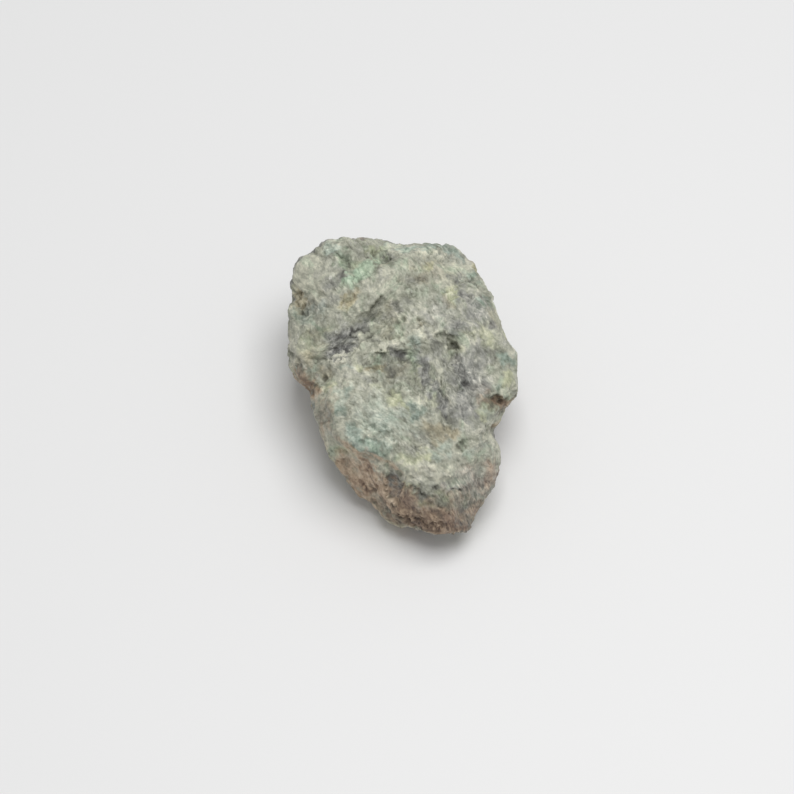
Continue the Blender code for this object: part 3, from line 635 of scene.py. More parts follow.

# %% [markdown]
# The last two zones don't choose a mineral. They make whatever is there darker or paler. Dark marks are
# gaps between grains and damp-looking mica, and also painted shade: the floors of small pits and of the
# notch at the upper left, and a painted shadow along the lower rim. Most are 2 to 3 mm long, and the random
# patterns of the material break them up further.

# %% Dark marks and painted shade
DARK_MINERAL_AND_PAINTED_SHADE = (
    (8.6, -0.9, 1.9, 0.8, 0, 1.5), (14.6, -1.4, 1.5, 0.7, -40, 1.4), (9.4, -17, 1.5, 0.9, 0, 1.6),
    (-3.4, 0.2, 1.4, 0.7, 0, 1.3), (-2.6, -14.4, 0.8, 1.3, 30, 1), (-5.4, -11.8, 1.3, 0.8, -30, 0.9),
    (5.2, -3.9, 0.8, 1.5, 20, 1.4), (1.9, 2.6, 0.8, 0.8, 0, 1.6), (2.2, 0, 1.1, 0.9, 0, 1.4),
    (9.6, -8.7, 1.6, 0.7, 40, 1.4), (13.6, 5.1, 1.3, 0.8, -20, 1.6), (11.4, -13.7, 0.8, 1.2, 0, 1.3),
    (6.2, -16.9, 2.8, 1, -15, 1.3), (12.6, 12.2, 0.8, 1.5, 20, 1.3), (10.3, 15, 0.6, 1.3, 10, 1.3),
    (1.2, 11.8, 1.1, 0.8, 0, 1), (-6.2, 11.2, 0.9, 0.6, 0, 0.9), (-1.3, 13, 0.7, 0.8, 0, 0.8),
    (4.6, 4.6, 1.5, 0.9, -20, 1), (5.9, 2.4, 0.6, 1.2, 0, 1.2), (0.2, -17.2, 1.5, 0.9, -40, 1.8),
    (-1.3, -18.4, 1.6, 0.8, -35, 1.6), (-2, -9.3, 2, 1, -15, 1.3), (-4.7, -8.4, 1.2, 0.8, -20, 1),
    (7.4, 8, 1.3, 0.8, -30, 0.9), (9, 7.2, 1.2, 0.9, 0, 0.9), (8.2, 3.2, 1.5, 1.3, 0, 0.5),
    (10, 3.8, 1, 1.6, 0, 0.4), (7.6, 1.3, 2, 1.2, 0, 0.8), (10.2, -0.1, 1.3, 1.1, 0, 1.4),
    (13, 2, 1.4, 0.9, 0, 0.9), (4.8, -2.4, 1.4, 0.7, -60, 1.5), (2.5, 1.2, 0.9, 2, 0, 1.3),
    (4, -7, 1.6, 1, -30, 1.2), (4.3, -10.6, 0.8, 1.2, 0, 1.1), (9, -15, 1.4, 0.9, 0, 1.6),
    (12.6, -2.9, 2.2, 0.7, -10, 1.3), (-9.2, 18.4, 2, 1.2, -15, 1.7), (-8.6, 16.6, 1, 0.9, 0, 1.1),
    (-6.5, 7.3, 1.1, 0.9, 0, 1.9), (-9.2, 4.8, 1.3, 0.7, 20, 1.6), (10.3, 12.5, 1.4, 0.8, -20, 1.6),
    (3.8, 16.1, 0.8, 1.2, 20, 1.2), (7, 15.5, 0.8, 0.9, 0, 1.1), (6.8, -17.8, 2, 1.2, -30, 1.2),
    (2.8, -18.3, 1.8, 0.6, -15, 1.1), (-12, 2.5, 0.9, 0.7, 0, 1.2), (-12.4, -0.2, 0.6, 1, 0, 1.2),
    (-11, 8.6, 2, 0.9, 0, 1.1), (11, -4.6, 0.8, 1.8, 0, 0.9), (6.8, -6.3, 1.2, 0.8, -20, 0.9),
    (8, 20, 0.8, 0.6, 0, 0.8), (2.6, -20.4, 1.8, 1, -15, 1.8), (6.6, -20.2, 2.2, 1.3, -15, 1.7),
    (4.2, -18.9, 1.4, 1, 0, 1.4), (-15.2, 12.9, 0.9, 0.7, -60, 1.7), (-14.4, 10.2, 1.4, 0.9, 0, 1.2),
    (-12.9, 7, 1.4, 1.2, 0, 1.2), (-1.6, 1.5, 1.2, 1, 0, 1.3), (-2.3, -0.6, 1.6, 1, 0, 1.2),
    (2.6, -0.2, 1.2, 1, 0, 1.3), (1.9, -4.4, 1.2, 1, 0, 1.2), (7.5, -5.1, 1.4, 0.8, 0, 1.1),
    (3.9, 9, 1.2, 0.8, 0, 1.2), (5.2, 5.8, 1.2, 1.2, 0, 1.2), (-8, 19.2, 1, 1.4, 0, 1.2),
    (0.8, 3.4, 1.4, 1.2, 0, 1), (3.2, -7.8, 1.6, 0.9, 0, 1.1), (8.4, 13.4, 1, 1.4, 30, 1.1),
    (5.6, 19.4, 1.6, 0.7, 0, 1.1), (-8.8, -4.2, 0.9, 0.8, 0, 1), (6.6, 0.4, 1, 0.9, 0, 1.1),
    (-3.8, 6.4, 1.2, 1, -40, 1.2), (5.6, -1.6, 1.2, 1, 0, 0.9), (-4, 2.4, 1.2, 0.9, 0, 0.8),
    (-5.4, 0.2, 2, 0.8, 0, 0.6), (-11.8, 3.1, 1.2, 0.9, 0, 0.9), (-14.5, 2.6, 1.2, 0.9, 40, 0.9),
    (-4.9, 12.5, 1.8, 0.9, 0, 0.7), (-0.7, 10.6, 1, 0.9, 0, 0.6), (3.8, 9.3, 1.4, 0.7, 10, 0.7),
    (3.6, 13.1, 1, 1.4, 20, 0.8), (-1.3, 15, 1.3, 0.9, 0, 0.6), (-2.6, 18.6, 1.4, 1, 0, 0.6),
    (8.4, 11.6, 1.8, 1.8, 0, 0.6), (10.2, 11, 1.2, 1, 0, 0.4), (12.4, 5.7, 1.6, 1, 0, 0.6),
    (14.4, 3, 1.4, 1, 0, 0.8), (13.8, 8.5, 1, 0.9, 0, 0.6), (1.6, -9.7, 1.8, 1.2, 0, 0.9),
    (9.3, -3.6, 1.2, 1, 0, 0.8), (7.6, -4.4, 1.4, 0.8, 0, 0.7), (4.2, -15.6, 2.4, 1, 0, 1),
    (10.4, -16.8, 2, 1.4, 40, 0.8), (7.2, -20.6, 2.4, 1.4, -10, 1), (-3.2, -17.8, 1.6, 1, -40, 0.9),
    (-15, 12.9, 1.1, 0.6, -60, 1), (-14.5, 11.2, 1.2, 0.4, -75, 1), (-0.4, 4.4, 1.3, 1, -60, 0.9),
    (4, -20.4, 5, 1.1, -10, 1), (1.9, 15.3, 2, 1.2, 0, 0.7), (-7.4, 12.8, 1.6, 1, 35, 0.8),
    (-1.6, 1.2, 2.2, 1.4, 0, 0.9), (-2.6, 3.6, 1.4, 1, 0, 0.8), (3.6, 1, 0.8, 2.2, -20, 0.5),
    (-8.4, 20, 1.6, 1.4, 0, 0.7), (2, -8.6, 2.4, 1.2, 0, 0.6), (-4.8, -15.2, 1.6, 0.8, 0, 0.8),
    (14.2, 4.6, 1.8, 1.4, -50, 0.7), (-6.8, -6.6, 1.6, 1.2, 0, 0.4), (7.6, 5.2, 1.4, 0.6, 70, 0.9),
    (-1.2, 8, 1.2, 0.9, 0, 0.8), (-2.2, 8.3, 2.4, 0.8, 20, 0.9), (-4.6, 11, 1.6, 0.9, 30, 0.7),
    (1, 13.6, 2.4, 1.1, 75, 0.6), (6, 11.8, 1.3, 1, 0, 0.7), (6.1, 3.4, 2.4, 0.8, 85, 0.6),
    (3.7, -0.8, 1.8, 0.9, -40, 0.7), (13, -1.6, 1.5, 1.1, -40, 0.8), (-6.6, 17.8, 1.4, 1, 0, 0.5),
    (-4.8, 19.3, 1.8, 0.9, 0, 0.5), (7.6, 19, 2, 1, -20, 0.6), (10.6, 15.6, 1.2, 1, 0, 0.6),
    (8.8, -9.6, 1.2, 1, 0, 0.6), (-3, -7, 1.2, 1.4, 0, 0.4), (0.2, -16.6, 1.8, 0.8, -40, 0.5),
    (-6.8, 10.4, 1.6, 0.7, 25, 0.5), (2, 17.2, 1.6, 0.8, 0, 0.4), (8.6, -5.4, 1.6, 0.7, 0, 0.4),
    (-0.8, -4.9, 1.2, 0.8, 0, 0.4), (-2.4, 18, 1.5, 0.9, -20, 0.8), (0.4, 16.2, 1.4, 1, -40, 0.6),
    (0.5, 12.6, 1.7, 1.2, 70, 0.8), (-15.2, 10, 1.8, 1.1, 90, 0.7), (-11.2, 8, 2.6, 1.8, 0, 0.7),
    (-13, 0.9, 2.4, 1.4, 20, 1), (-1.6, 2.6, 3, 1.8, 75, 1), (-5, 3, 1.1, 0.9, 0, 0.7),
    (5.6, 6, 2.2, 1.4, 80, 1), (2.5, 0.1, 1.8, 1.2, 80, 1), (1.8, -4.6, 2.4, 1.2, 0, 0.6),
    (2.5, -7, 1.4, 1.1, 80, 0.7), (4.3, -8, 1.8, 1.1, 0, 0.5), (6.6, -5, 1.9, 1, 0, 0.9),
    (10, -8.7, 1.6, 1.1, 20, 0.6), (-3.3, -9.6, 1.8, 1.1, 20, 0.6), (14.2, -3.2, 1.8, 0.9, 10, 1),
    (3, -15.8, 2.2, 1.2, -10, 1), (5.4, -18.4, 3, 2.5, 0, 1), (-1, -19, 2.8, 1, -35, 0.9),
    (8.5, -20, 2.8, 1.9, 0, 0.9), (-6, -15.5, 1.7, 1, -40, 0.5), (-4.2, 11.3, 2.2, 0.7, 55, 0.6),
)
# Darker: dark mica and gaps between grains, with painted shade in pits and a painted shadow along the lower
# rim.
zones["dark_mineral_and_painted_shade"] = 0.55 * placed(DARK_MINERAL_AND_PAINTED_SHADE) + 0.35 * wild(3.5, 22, 0.3, 0.8)
tell("dark_mineral_and_painted_shade")

# %% [markdown]
# Pale marks are grains of feldspar and quartz, edges that were rubbed, and painted light: painted
# highlights on the rims and the lips of the ledges, which is what lets the eye read the shape from far off,
# and painted light where the surface turns away from the lamp.

# %% Pale marks and painted light
PALE_MINERAL_AND_PAINTED_LIGHT = (
    (0.5, 9.6, 3.6, 0.6, 0, 1), (11.3, 5.8, 0.8, 1.3, 0, 1.1), (5.7, -0.9, 0.7, 1.6, 20, 1.3),
    (-8, 7.8, 1.3, 0.6, 20, 1), (-6.3, -7.2, 1.2, 1.3, 0, 0.9), (8, 13.3, 1.4, 0.7, 10, 1),
    (-10.6, 19.8, 2.2, 0.7, 30, 1), (9.3, 17.7, 1.4, 0.7, -40, 1.1), (0.9, -9.3, 1.1, 0.8, 0, 0.9),
    (4.2, 8.3, 1.1, 0.6, 0, 0.9), (11.6, 0.6, 0.9, 0.8, 0, 0.9), (-6.6, 13.1, 1.5, 0.6, 0, 0.6),
    (11.4, -4.9, 0.8, 0.8, 0, 0.8), (1.5, -13.2, 2.6, 0.9, -8, 1.3), (5, -13.7, 2.2, 0.8, 5, 1.2),
    (1, -14.6, 1.2, 0.7, -10, 1.4), (-5.2, -2.8, 0.9, 1.4, 0, 0.6), (0.6, -14.6, 1.3, 0.9, -40, 1.3),
    (-4.4, -16.8, 1, 0.8, -40, 0.9), (-8.9, -10, 1.2, 1.2, -50, 1), (-4.5, -6.1, 3.2, 0.8, 0, 1),
    (-7.3, -6.4, 0.9, 0.8, 0, 0.8), (5.4, 6.8, 2.4, 0.7, -12, 1), (7.3, 6, 0.8, 0.8, 0, 1),
    (4, -3.8, 0.9, 0.8, 0, 0.9), (8.6, -3.6, 0.7, 1, 0, 0.9), (-4.2, 9.9, 1.8, 0.6, -15, 0.9),
    (-3.5, 7.5, 1.4, 1, 0, 1), (0.2, 9.6, 0.8, 1, 0, 0.9), (1, 13.7, 1.5, 0.6, 0, 1),
    (3.8, 12.6, 0.8, 1, 0, 0.7), (8.7, 14.3, 0.5, 1, 0, 1), (8.6, 10.9, 1.6, 0.7, 0, 0.9),
    (2.5, 17.5, 1.3, 0.6, 0, 0.8), (-1.8, 19.4, 0.9, 0.8, 0, 1.2), (-8.5, 13.9, 0.9, 0.6, 0, 0.8),
    (-5, 15.3, 2.2, 0.5, 15, 0.7), (-12.4, 16.7, 1.4, 0.7, 0, 0.6), (-13.5, 11.2, 1.1, 1, 0, 1.3),
    (-13.9, 13.7, 1, 0.6, 0, 1), (-15.9, 4.2, 0.9, 2, 0, 1.4), (-15, 7.2, 1.2, 0.8, 0, 0.8),
    (-1.3, 4.7, 0.9, 0.7, 0, 1.3), (0.9, 4.5, 1, 0.6, 0, 1.1), (-6.6, 4.6, 0.9, 1, 0, 1.1),
    (-10, 2.3, 1.3, 0.7, 20, 0.8), (-5.2, 1.2, 1.5, 0.5, 15, 1), (16.1, -0.6, 0.8, 0.9, 0, 1.1),
    (15.4, 0.6, 0.8, 0.8, 0, 0.7), (10, -10, 2.4, 0.6, 20, 0.7), (5, -14.3, 1.5, 0.5, 10, 0.9),
    (-1.4, -2.3, 1.2, 0.6, 0, 0.6), (-16, 3.6, 1.2, 1.6, 20, 1), (-15.8, 5.6, 1.2, 1.4, 0, 1),
    (-1.4, -12.4, 1.2, 1.2, 0, 1), (-2.2, -14.9, 1, 0.9, 0, 0.7), (-5, 9.9, 1, 0.9, 0, 0.9),
    (15.4, -1.8, 1, 0.8, 0, 0.7), (-7, 12.6, 0.9, 0.7, 0, 0.6), (4.6, 16.8, 2.4, 0.9, 10, 0.6),
    (5, 2, 0.8, 1.4, 0, 0.8), (-6.8, -9.6, 2.6, 0.8, -20, 0.7), (-10.2, 17.4, 1.4, 1, 0, 0.7),
    (-11.9, 5.6, 1.4, 1, 0, 0.9), (-8.8, 1, 1.2, 1, 0, 0.8), (-9.2, -2.5, 1.3, 0.9, 0, 0.7),
    (-1.8, 5.8, 1.6, 0.7, 20, 0.9), (6.6, 7.9, 1.2, 0.8, -40, 0.8), (7.4, 6.9, 1, 0.8, -40, 0.8),
    (-2.8, -11.4, 2, 1.1, -20, 1), (11.7, -7.9, 1.2, 1.2, 0, 0.7), (13.6, -5.6, 1.2, 1.4, 0, 0.8),
    (10.6, 13.2, 1.6, 1.2, 0, 0.6), (-1.8, -8.4, 1.6, 0.8, 0, 0.6), (-0.6, -16.6, 1.2, 1, 0, 0.6),
    (-13.4, 17.6, 1.8, 1.8, 0, 0.9), (-14.6, 14.6, 1.8, 1.2, 0, 0.9), (6.6, 14, 1.2, 0.8, -70, 1),
    (-9.6, 3.6, 1.8, 1, 30, 0.9), (-4, -8.9, 1.8, 0.9, 15, 0.7), (8, -16.6, 1.4, 0.9, 0, 0.8),
    (8.6, -13.6, 2.6, 0.9, 0, 0.8), (-0.9, -13.6, 1, 1, 0, 0.9), (6.4, -2, 0.8, 1.6, 20, 0.8),
    (2.6, 11.6, 2, 1, 0, 0.5), (7.4, -9.2, 0.8, 1.4, 0, 0.7), (11.8, -8.6, 1.2, 1.6, 0, 0.6),
    (4.8, 0.9, 0.7, 2, 20, 0.6), (-15.8, 4, 1.6, 1.3, 0, 0.9), (-15.4, 15.2, 2.2, 1.2, 80, 0.7),
    (-10.6, 11.6, 1.6, 1.1, -50, 0.7), (-5.4, 6.9, 1.3, 0.8, 0, 0.8), (-7.6, 2.6, 2.4, 1.6, 60, 0.7),
    (-11.9, -2.2, 1.2, 1, 0, 0.7), (-4, -1.4, 1.2, 0.9, 0, 0.5), (2.8, -9.8, 1.2, 1, 0, 0.8),
    (-6.2, -12.9, 3.4, 0.9, -18, 0.8), (-3, -16.2, 1.6, 1.1, -50, 0.6), (6.8, -15, 2.4, 0.9, -30, 0.8),
    (10.4, 7, 1.4, 1.1, 0, 0.6), (-1.8, 11.2, 1.1, 0.9, 0, 0.6), (-5.6, 15.7, 1.4, 1, 30, 0.6),
    (-0.4, 20.2, 1.8, 0.8, 0, 0.8), (0.8, 5.6, 1.4, 0.8, -30, 0.6), (3.3, 9.8, 0.9, 1.6, 0, 0.5),
    (3.6, 1.6, 1.2, 0.8, -60, 0.6), (9.8, -16, 2.2, 1.2, -20, 0.5), (-11.2, 0.6, 2, 0.9, 80, 0.5),
    (-13.2, 13, 2.8, 2.4, 0, 0.6), (-3.2, 9.6, 1.5, 1, 60, 0.9), (-6, 9.3, 1.1, 0.9, 0, 0.6),
    (3, 7.9, 1.8, 0.8, 10, 0.7), (7, 13.6, 1.7, 1, -60, 0.8), (5.8, 15.7, 1.5, 1, -60, 0.6),
    (10.8, 10.8, 2.4, 1.4, 0, 0.8), (13.2, 7.4, 2, 0.9, -15, 0.6), (11.5, 3.2, 1.5, 1.5, 0, 0.4),
    (8.4, -3.2, 1.3, 0.9, -60, 0.7), (11, -4, 1.4, 1.4, 0, 0.5), (12.6, -7.8, 1.6, 1, -30, 0.6),
    (-10, -8.3, 2.4, 1.4, -50, 0.7), (-8.2, -9.6, 2.2, 1.2, -30, 0.9), (-6.1, -10.8, 2, 1.1, -35, 0.9),
    (-3.4, -11.9, 2, 1.1, -30, 0.9), (-0.8, -12.2, 1.6, 1.4, 0, 0.8), (7.2, -14.1, 2.4, 0.9, -5, 0.9),
    (10.3, -13, 2.4, 1.2, 10, 0.7), (-3.4, -14.4, 1.6, 1.2, -60, 0.7), (-8.3, 4.1, 2.2, 0.6, 15, 0.9),
    (-6.3, 5, 0.9, 0.5, 70, 0.9), (-3.2, 5.9, 1.1, 0.5, 20, 1), (-1, 6.8, 1.6, 0.5, 28, 0.9),
    (2.8, 8.3, 2.4, 0.5, 8, 0.9), (3.6, 19.2, 2, 0.6, 0, 0.8), (4.9, 19, 1.2, 0.4, -25, 1),
    (7.6, 17.2, 2.4, 1.5, -20, 0.8), (-7.7, 21.2, 1.2, 1, 30, 0.7), (-15, 6.4, 2.8, 1.6, 80, 0.6),
    (-7.8, -0.3, 1, 0.7, 60, 1), (-3.8, -1, 1.3, 0.7, 0, 0.8), (-3, -4.6, 2.2, 2, 0, 0.6),
    (-1.6, -7.9, 1.3, 0.5, -8, 1), (-1.9, -6.1, 1.1, 0.5, -20, 0.9), (2.8, -2.6, 1.2, 0.8, 20, 0.9),
    (7.7, -2.7, 0.9, 0.4, -65, 0.8), (9, -6, 1.3, 0.6, -20, 1), (10.6, -6.8, 1, 0.4, -15, 1),
    (3.7, -12.5, 2.9, 1, -15, 1), (6.6, -12.6, 2.1, 0.9, -5, 0.9), (10.8, -8.8, 1.2, 0.6, -20, 0.9),
    (14.2, -9.7, 0.9, 0.5, 80, 0.8), (16, 5, 0.8, 0.6, 0, 1), (9.5, 5.2, 1.4, 0.6, 80, 0.7),
    (-1, 16, 1.7, 1.5, 0, 0.5), (-3.2, 14.1, 1.7, 0.6, 10, 0.7), (4.9, 11, 1.5, 1.2, 60, 0.6),
    (-5, 13, 1.6, 0.8, 40, 0.4), (2, -0.6, 1.6, 0.8, 0, 0.5), (-6.5, -3.2, 1.8, 0.8, -50, 0.5),
    (5, -19.4, 2.6, 0.4, -18, 0.5), (-12.8, 7.4, 1.4, 0.7, 40, 0.6), (6.4, 18.8, 1.2, 0.5, -20, 0.8),
)
# Paler: feldspar, quartz and rubbed edges, with painted highlights and painted light where the surface turns
# from the lamp.
zones["pale_mineral_and_painted_light"] = placed(PALE_MINERAL_AND_PAINTED_LIGHT) + 0.7 * wild(3.0, 15, 0.35, 0.8)
tell("pale_mineral_and_painted_light")

# %% [markdown]
# Where the surface is lower than what surrounds it, dust and iron stain gather and shade falls, so these
# places are darkened: partly dirt, partly painted shade. Raised edges are made paler: partly rubbed wear,
# partly painted highlight. Both come from the finished shape. Evening the places of the points gives the
# surface without its small relief, and the distance from there to the real surface is the height of the
# relief. Few rounds of evening find the fine relief and many rounds the broad one. Ambient occlusion in the
# material could do the painted shade too, but takes long to render.

# %% Hollows: dust and painted shade. Edges: wear and painted highlight
def height_above(points, rounds):
    """How far each point stands above the surface that is left after this much evening, in mm."""
    broad = evened(points, rounds)
    return np.einsum("ij,ij->i", points - broad, outward(broad))


def share_of(heights, full):
    """0 at no height, 1 at this full height and beyond."""
    return np.clip(heights / full, 0, 1)


fine_height = height_above(stone_points, 6)
broad_height = height_above(stone_points, 50)
# Hollows are darkened as dust and as painted shade, at a fine and a broad size.
dust_and_painted_shade = share_of(-fine_height, 0.2) * 0.4 + share_of(-broad_height, 0.7) * 0.6
# Raised edges are made paler as wear and as painted highlight.
edge = share_of(fine_height, 0.2) * 0.4 + share_of(broad_height, 0.7) * 0.3
dust_and_painted_shade = np.maximum(dust_and_painted_shade, share_of(hollowed, 0.6))
# Below each broken edge lies a painted thin shadow.
zones["dust_and_painted_shade"] = np.maximum(dust_and_painted_shade, 0.6 * share_of(-edge_relief, 0.35))
# Along the lip of each broken edge lies a painted highlight.
zones["edge"] = np.maximum(edge, share_of(edge_relief, 0.08))
print("fine relief:", round(fine_height.min(), 2), "to", round(fine_height.max(), 2), "mm")

# %% [markdown]
# Blender can keep a number for every point of a mesh, called an attribute, and a material reads it by name.
# So each zone is written on the stone under its own name. An attribute needs no unwrapping of the surface.

# %% The zones, written on the stone
in_layers = stone.data.attributes.new("in_rock", "FLOAT_VECTOR", "POINT")
in_layers.data.foreach_set("vector", in_rock.astype(np.float32).ravel())
for name, zone in zones.items():
    attribute = stone.data.attributes.new(name, "FLOAT", "POINT")
    attribute.data.foreach_set("value", np.clip(zone, 0, 1).astype(np.float32))
print("zones:", ", ".join(zones))

# %% [markdown]
# ## The finish of the rock
# One material carries all the minerals, because on the real stone they run into each other. A few patterns
# of different size add up to one tone, from dark to pale. Each mineral has its own row of colours for that
# tone, and the zones choose between them with ragged borders. It could be drawn node by node in the shader
# editor. In code, short helpers do it: `add` makes one node, and the others are the sums that come up often.

# %% Helpers for nodes
finish = bpy.data.materials.new("emerald_schist")
finish.use_nodes = True
tree = finish.node_tree
shader = tree.nodes["Principled BSDF"]


def add(kind, inputs=(), **settings):
    """One node. Each input is a plain value or another node's output."""
    node = tree.nodes.new("ShaderNode" + kind)
    for name, value in settings.items():
        setattr(node, name, value)
    for name, value in dict(inputs).items():
        if isinstance(value, bpy.types.NodeSocket):
            tree.links.new(value, node.inputs[name])
        else:
            node.inputs[name].default_value = value
    return node.outputs[0]


def combined(operation, first, second=0.0):
    """One sum with two numbers, such as their difference."""
    return add("Math", {0: first, 1: second}, operation=operation)


def plus(start, source, share):
    """The start value plus the source times its share."""
    return add("Math", {0: source, 1: share, 2: start}, operation="MULTIPLY_ADD")


def total(start, *shares):
    """The start value plus each pattern's distance from its middle, times its share."""
    for source, share in shares:
        start = plus(start, combined("SUBTRACT", source, 0.5), share)
    return start


def between(value, low=0.0, high=1.0, least=0.0, most=1.0, **settings):
    """The way from `low` to `high`, told as a number from `least` to `most`."""
    return add("MapRange", {0: value, 1: low, 2: high, 3: least, 4: most}, **settings)


print("helpers for", finish.name)

# %% [markdown]
# The patterns of the material are built in the frame of the layers, which the stone carries as `in_rock`.
# So every streak of colour follows the same fibres as the relief does. `speckled` is soft noise of many
# sizes at once. `cells` gives each crystal, a cell in the rock, one random colour of its own.

# %% Patterns in the rock
def carried(name, kind="Fac"):
    """What the stone carries under this name."""
    return add("Attribute", attribute_name=name).node.outputs[kind]


def lumps_of(size, stretch):
    """Places in the rock, counted in lumps this thick."""
    counts = [1 / side for side in lump_size(size, stretch)]
    return add("VectorMath", {0: rock_places, 1: counts}, operation="MULTIPLY")


def speckled(size, stretch, detail, roughness=0.6, twist=0.0):
    """Soft noise. More detail adds finer noises, and roughness makes them stronger."""
    inputs = {"Scale": 1.0, "Detail": detail, "Roughness": roughness, "Distortion": twist}
    return add("TexNoise", {"Vector": lumps_of(size, stretch), **inputs})


def cells(size, stretch):
    """A random colour for each cell of the rock, the same all over the cell."""
    return add("TexVoronoi", {"Vector": lumps_of(size, stretch), "Scale": 1.0}).node.outputs["Color"]


rock_places = carried("in_rock", "Vector")
print("nodes so far:", len(tree.nodes))

# %% [markdown]
# ## One tone for all minerals
# Close up, schist is a mix of pale and dark grains in rows. Long streaks rule where the rock is fibrous and
# short ones elsewhere. Grit, blotches, single crystals, round flecks and thin bright wisps come on top, and
# then the pale and dark marks with their painted light and shade, the dust and painted shade of the hollows
# and the edges with their painted highlights. One noise alone would look like fog, because real rock has
# detail of several kinds.

# %% Streaks, grit and crystals
long_streaks = speckled(0.40, 5.0, detail=4.0, roughness=0.72, twist=0.2)
short_streaks = speckled(0.55, 1.9, detail=4.0, roughness=0.72, twist=0.4)
short_streaks = between(short_streaks, least=0.17, most=0.83, clamp=False)
share_of_long = between(carried("fibrous"), least=0.2, most=0.9)
streaks = plus(short_streaks, combined("SUBTRACT", long_streaks, short_streaks), share_of_long)
grit = speckled(0.26, 1.6, detail=2.0)
blotches = speckled(1.7, 1.8, detail=4.0, twist=0.5)
crystals = cells(0.46, 1.7)
crystal_tone = add("SeparateColor", {0: crystals})
small_crystal_tone = add("SeparateColor", {0: cells(0.24, 1.8)})
print("nodes so far:", len(tree.nodes))

# %% [markdown]
# Flecks are the crowns of one soft noise for pale grains and its troughs for dark ones. A wisp is the thin
# line where another noise crosses its middle. Each comes in over a short range, so it has a clear border.

# %% Flecks, wisps and the tone
flecks = speckled(0.85, 1.5, detail=2.0, roughness=0.5)
pale_flecks = between(flecks, 0.60, 0.72, most=0.2)
dark_flecks = between(flecks, 0.40, 0.28, most=-0.24)
from_line = speckled(0.8, 5.0, detail=3.0, twist=0.3)
from_line = combined("ABSOLUTE", combined("SUBTRACT", from_line, 0.5))
wisps = between(from_line, 0.035, 0.0, most=between(carried("fibrous"), 0.2, 0.8, most=0.26))
tone = total(
    0.5, (streaks, 1.3), (grit, 0.45), (blotches, 0.55), (crystal_tone, 0.1), (small_crystal_tone, 0.2)
)
for extra in (wisps, pale_flecks, dark_flecks):
    tone = combined("ADD", tone, extra)
# Pale and dark marks, edges and hollows carry painted light and shade as well as real colour.
for name, share in (("pale_mineral_and_painted_light", 0.24), ("dark_mineral_and_painted_shade", -0.42), ("edge", 0.12), ("dust_and_painted_shade", -0.3)):
    tone = plus(tone, carried(name), share)
print("nodes so far:", len(tree.nodes))

# %% [markdown]
# ## The colours of the minerals
# Each mineral is a row of colours for a tone from 0, dark, to 1, pale, written as red, green and blue. The
# real differences are small: all are greyish, and only a hint of green, yellow or brown tells them apart.
# Saturated colours would look like paint.

# %% Rows of colours
MINERALS = {
    "schist": ((0.0, (0.13, 0.13, 0.10)), (0.3, (0.27, 0.275, 0.215)), (0.52, (0.40, 0.405, 0.325)),
               (0.75, (0.56, 0.555, 0.445)), (1.0, (0.78, 0.76, 0.60))),
    "mica": ((0.0, (0.07, 0.068, 0.068)), (0.35, (0.17, 0.17, 0.165)), (0.6, (0.30, 0.30, 0.28)),
             (0.85, (0.48, 0.47, 0.43)), (1.0, (0.66, 0.64, 0.57))),
    "emerald": ((0.0, (0.09, 0.13, 0.10)), (0.35, (0.21, 0.28, 0.235)), (0.6, (0.345, 0.44, 0.38)),
                (1.0, (0.64, 0.72, 0.62))),
    "mint": ((0.0, (0.11, 0.15, 0.10)), (0.35, (0.25, 0.35, 0.24)), (0.6, (0.41, 0.54, 0.38)),
             (1.0, (0.68, 0.78, 0.61))),
    "crust": ((0.0, (0.13, 0.13, 0.075)), (0.35, (0.30, 0.32, 0.18)), (0.6, (0.48, 0.50, 0.30)),
              (1.0, (0.76, 0.75, 0.52))),
    "stain": ((0.0, (0.11, 0.09, 0.055)), (0.35, (0.27, 0.225, 0.135)), (0.6, (0.44, 0.375, 0.24)),
              (1.0, (0.70, 0.62, 0.45))),
    "earth_and_painted_shade": ((0.0, (0.11, 0.066, 0.045)), (0.35, (0.28, 0.183, 0.122)), (0.6, (0.46, 0.322, 0.215)),
              (1.0, (0.70, 0.54, 0.39))),
}


def row_of_colours(stops):
    """The mineral's colour for the tone at each place."""
    ramp = add("ValToRGB", {0: tone}).node
    for place, _ in stops[2:]:
        ramp.color_ramp.elements.new(place)
    for element, (place, colour) in zip(ramp.color_ramp.elements, stops):
        element.position = place
        element.color = (*colour, 1.0)
    return ramp.outputs["Color"]


mineral = {name: row_of_colours(stops) for name, stops in MINERALS.items()}
print("minerals:", ", ".join(mineral))

# %% [markdown]
# The minerals are laid over each other one by one, the commonest first. Schist itself drifts slowly towards
# mint and towards mica. Each zone's border is torn by the blotches and the streaks, because minerals in
# rock grow into each other along the fibres. A clean border would look like a sticker.

# %% One mineral over another
LAID_OVER = (("crust", 0.65), ("stain", 0.7), ("mica", 0.8), ("earth_and_painted_shade", 0.85), ("emerald", 0.7), ("mint", 0.7))


def over(below, above, share):
    """One colour laid over another."""
    mix = add("Mix", data_type="RGBA").node
    for name, value in (("Factor", share), ("A", below), ("B", above)):
        socket = [put for put in mix.inputs if put.name == name and put.enabled][0]
        tree.links.new(value, socket)
    return [out for out in mix.outputs if out.enabled][0]


drift = speckled(2.4, 1.4, detail=3.0, twist=0.6)
greener = between(drift, 0.5, 0.72, most=0.4, interpolation_type="SMOOTHSTEP")
greyer = between(drift, 0.5, 0.28, most=0.45, interpolation_type="SMOOTHSTEP")
colour = over(over(mineral["schist"], mineral["mint"], greener), mineral["mica"], greyer)
for name, most in LAID_OVER:
    torn = total(carried(name), (blotches, 0.9), (streaks, 0.8))
    share = between(torn, 0.1, 0.9, most=most, interpolation_type="SMOOTHSTEP")
    colour = over(colour, mineral[name], share)
tree.links.new(colour, shader.inputs["Base Color"])
print("nodes so far:", len(tree.nodes))

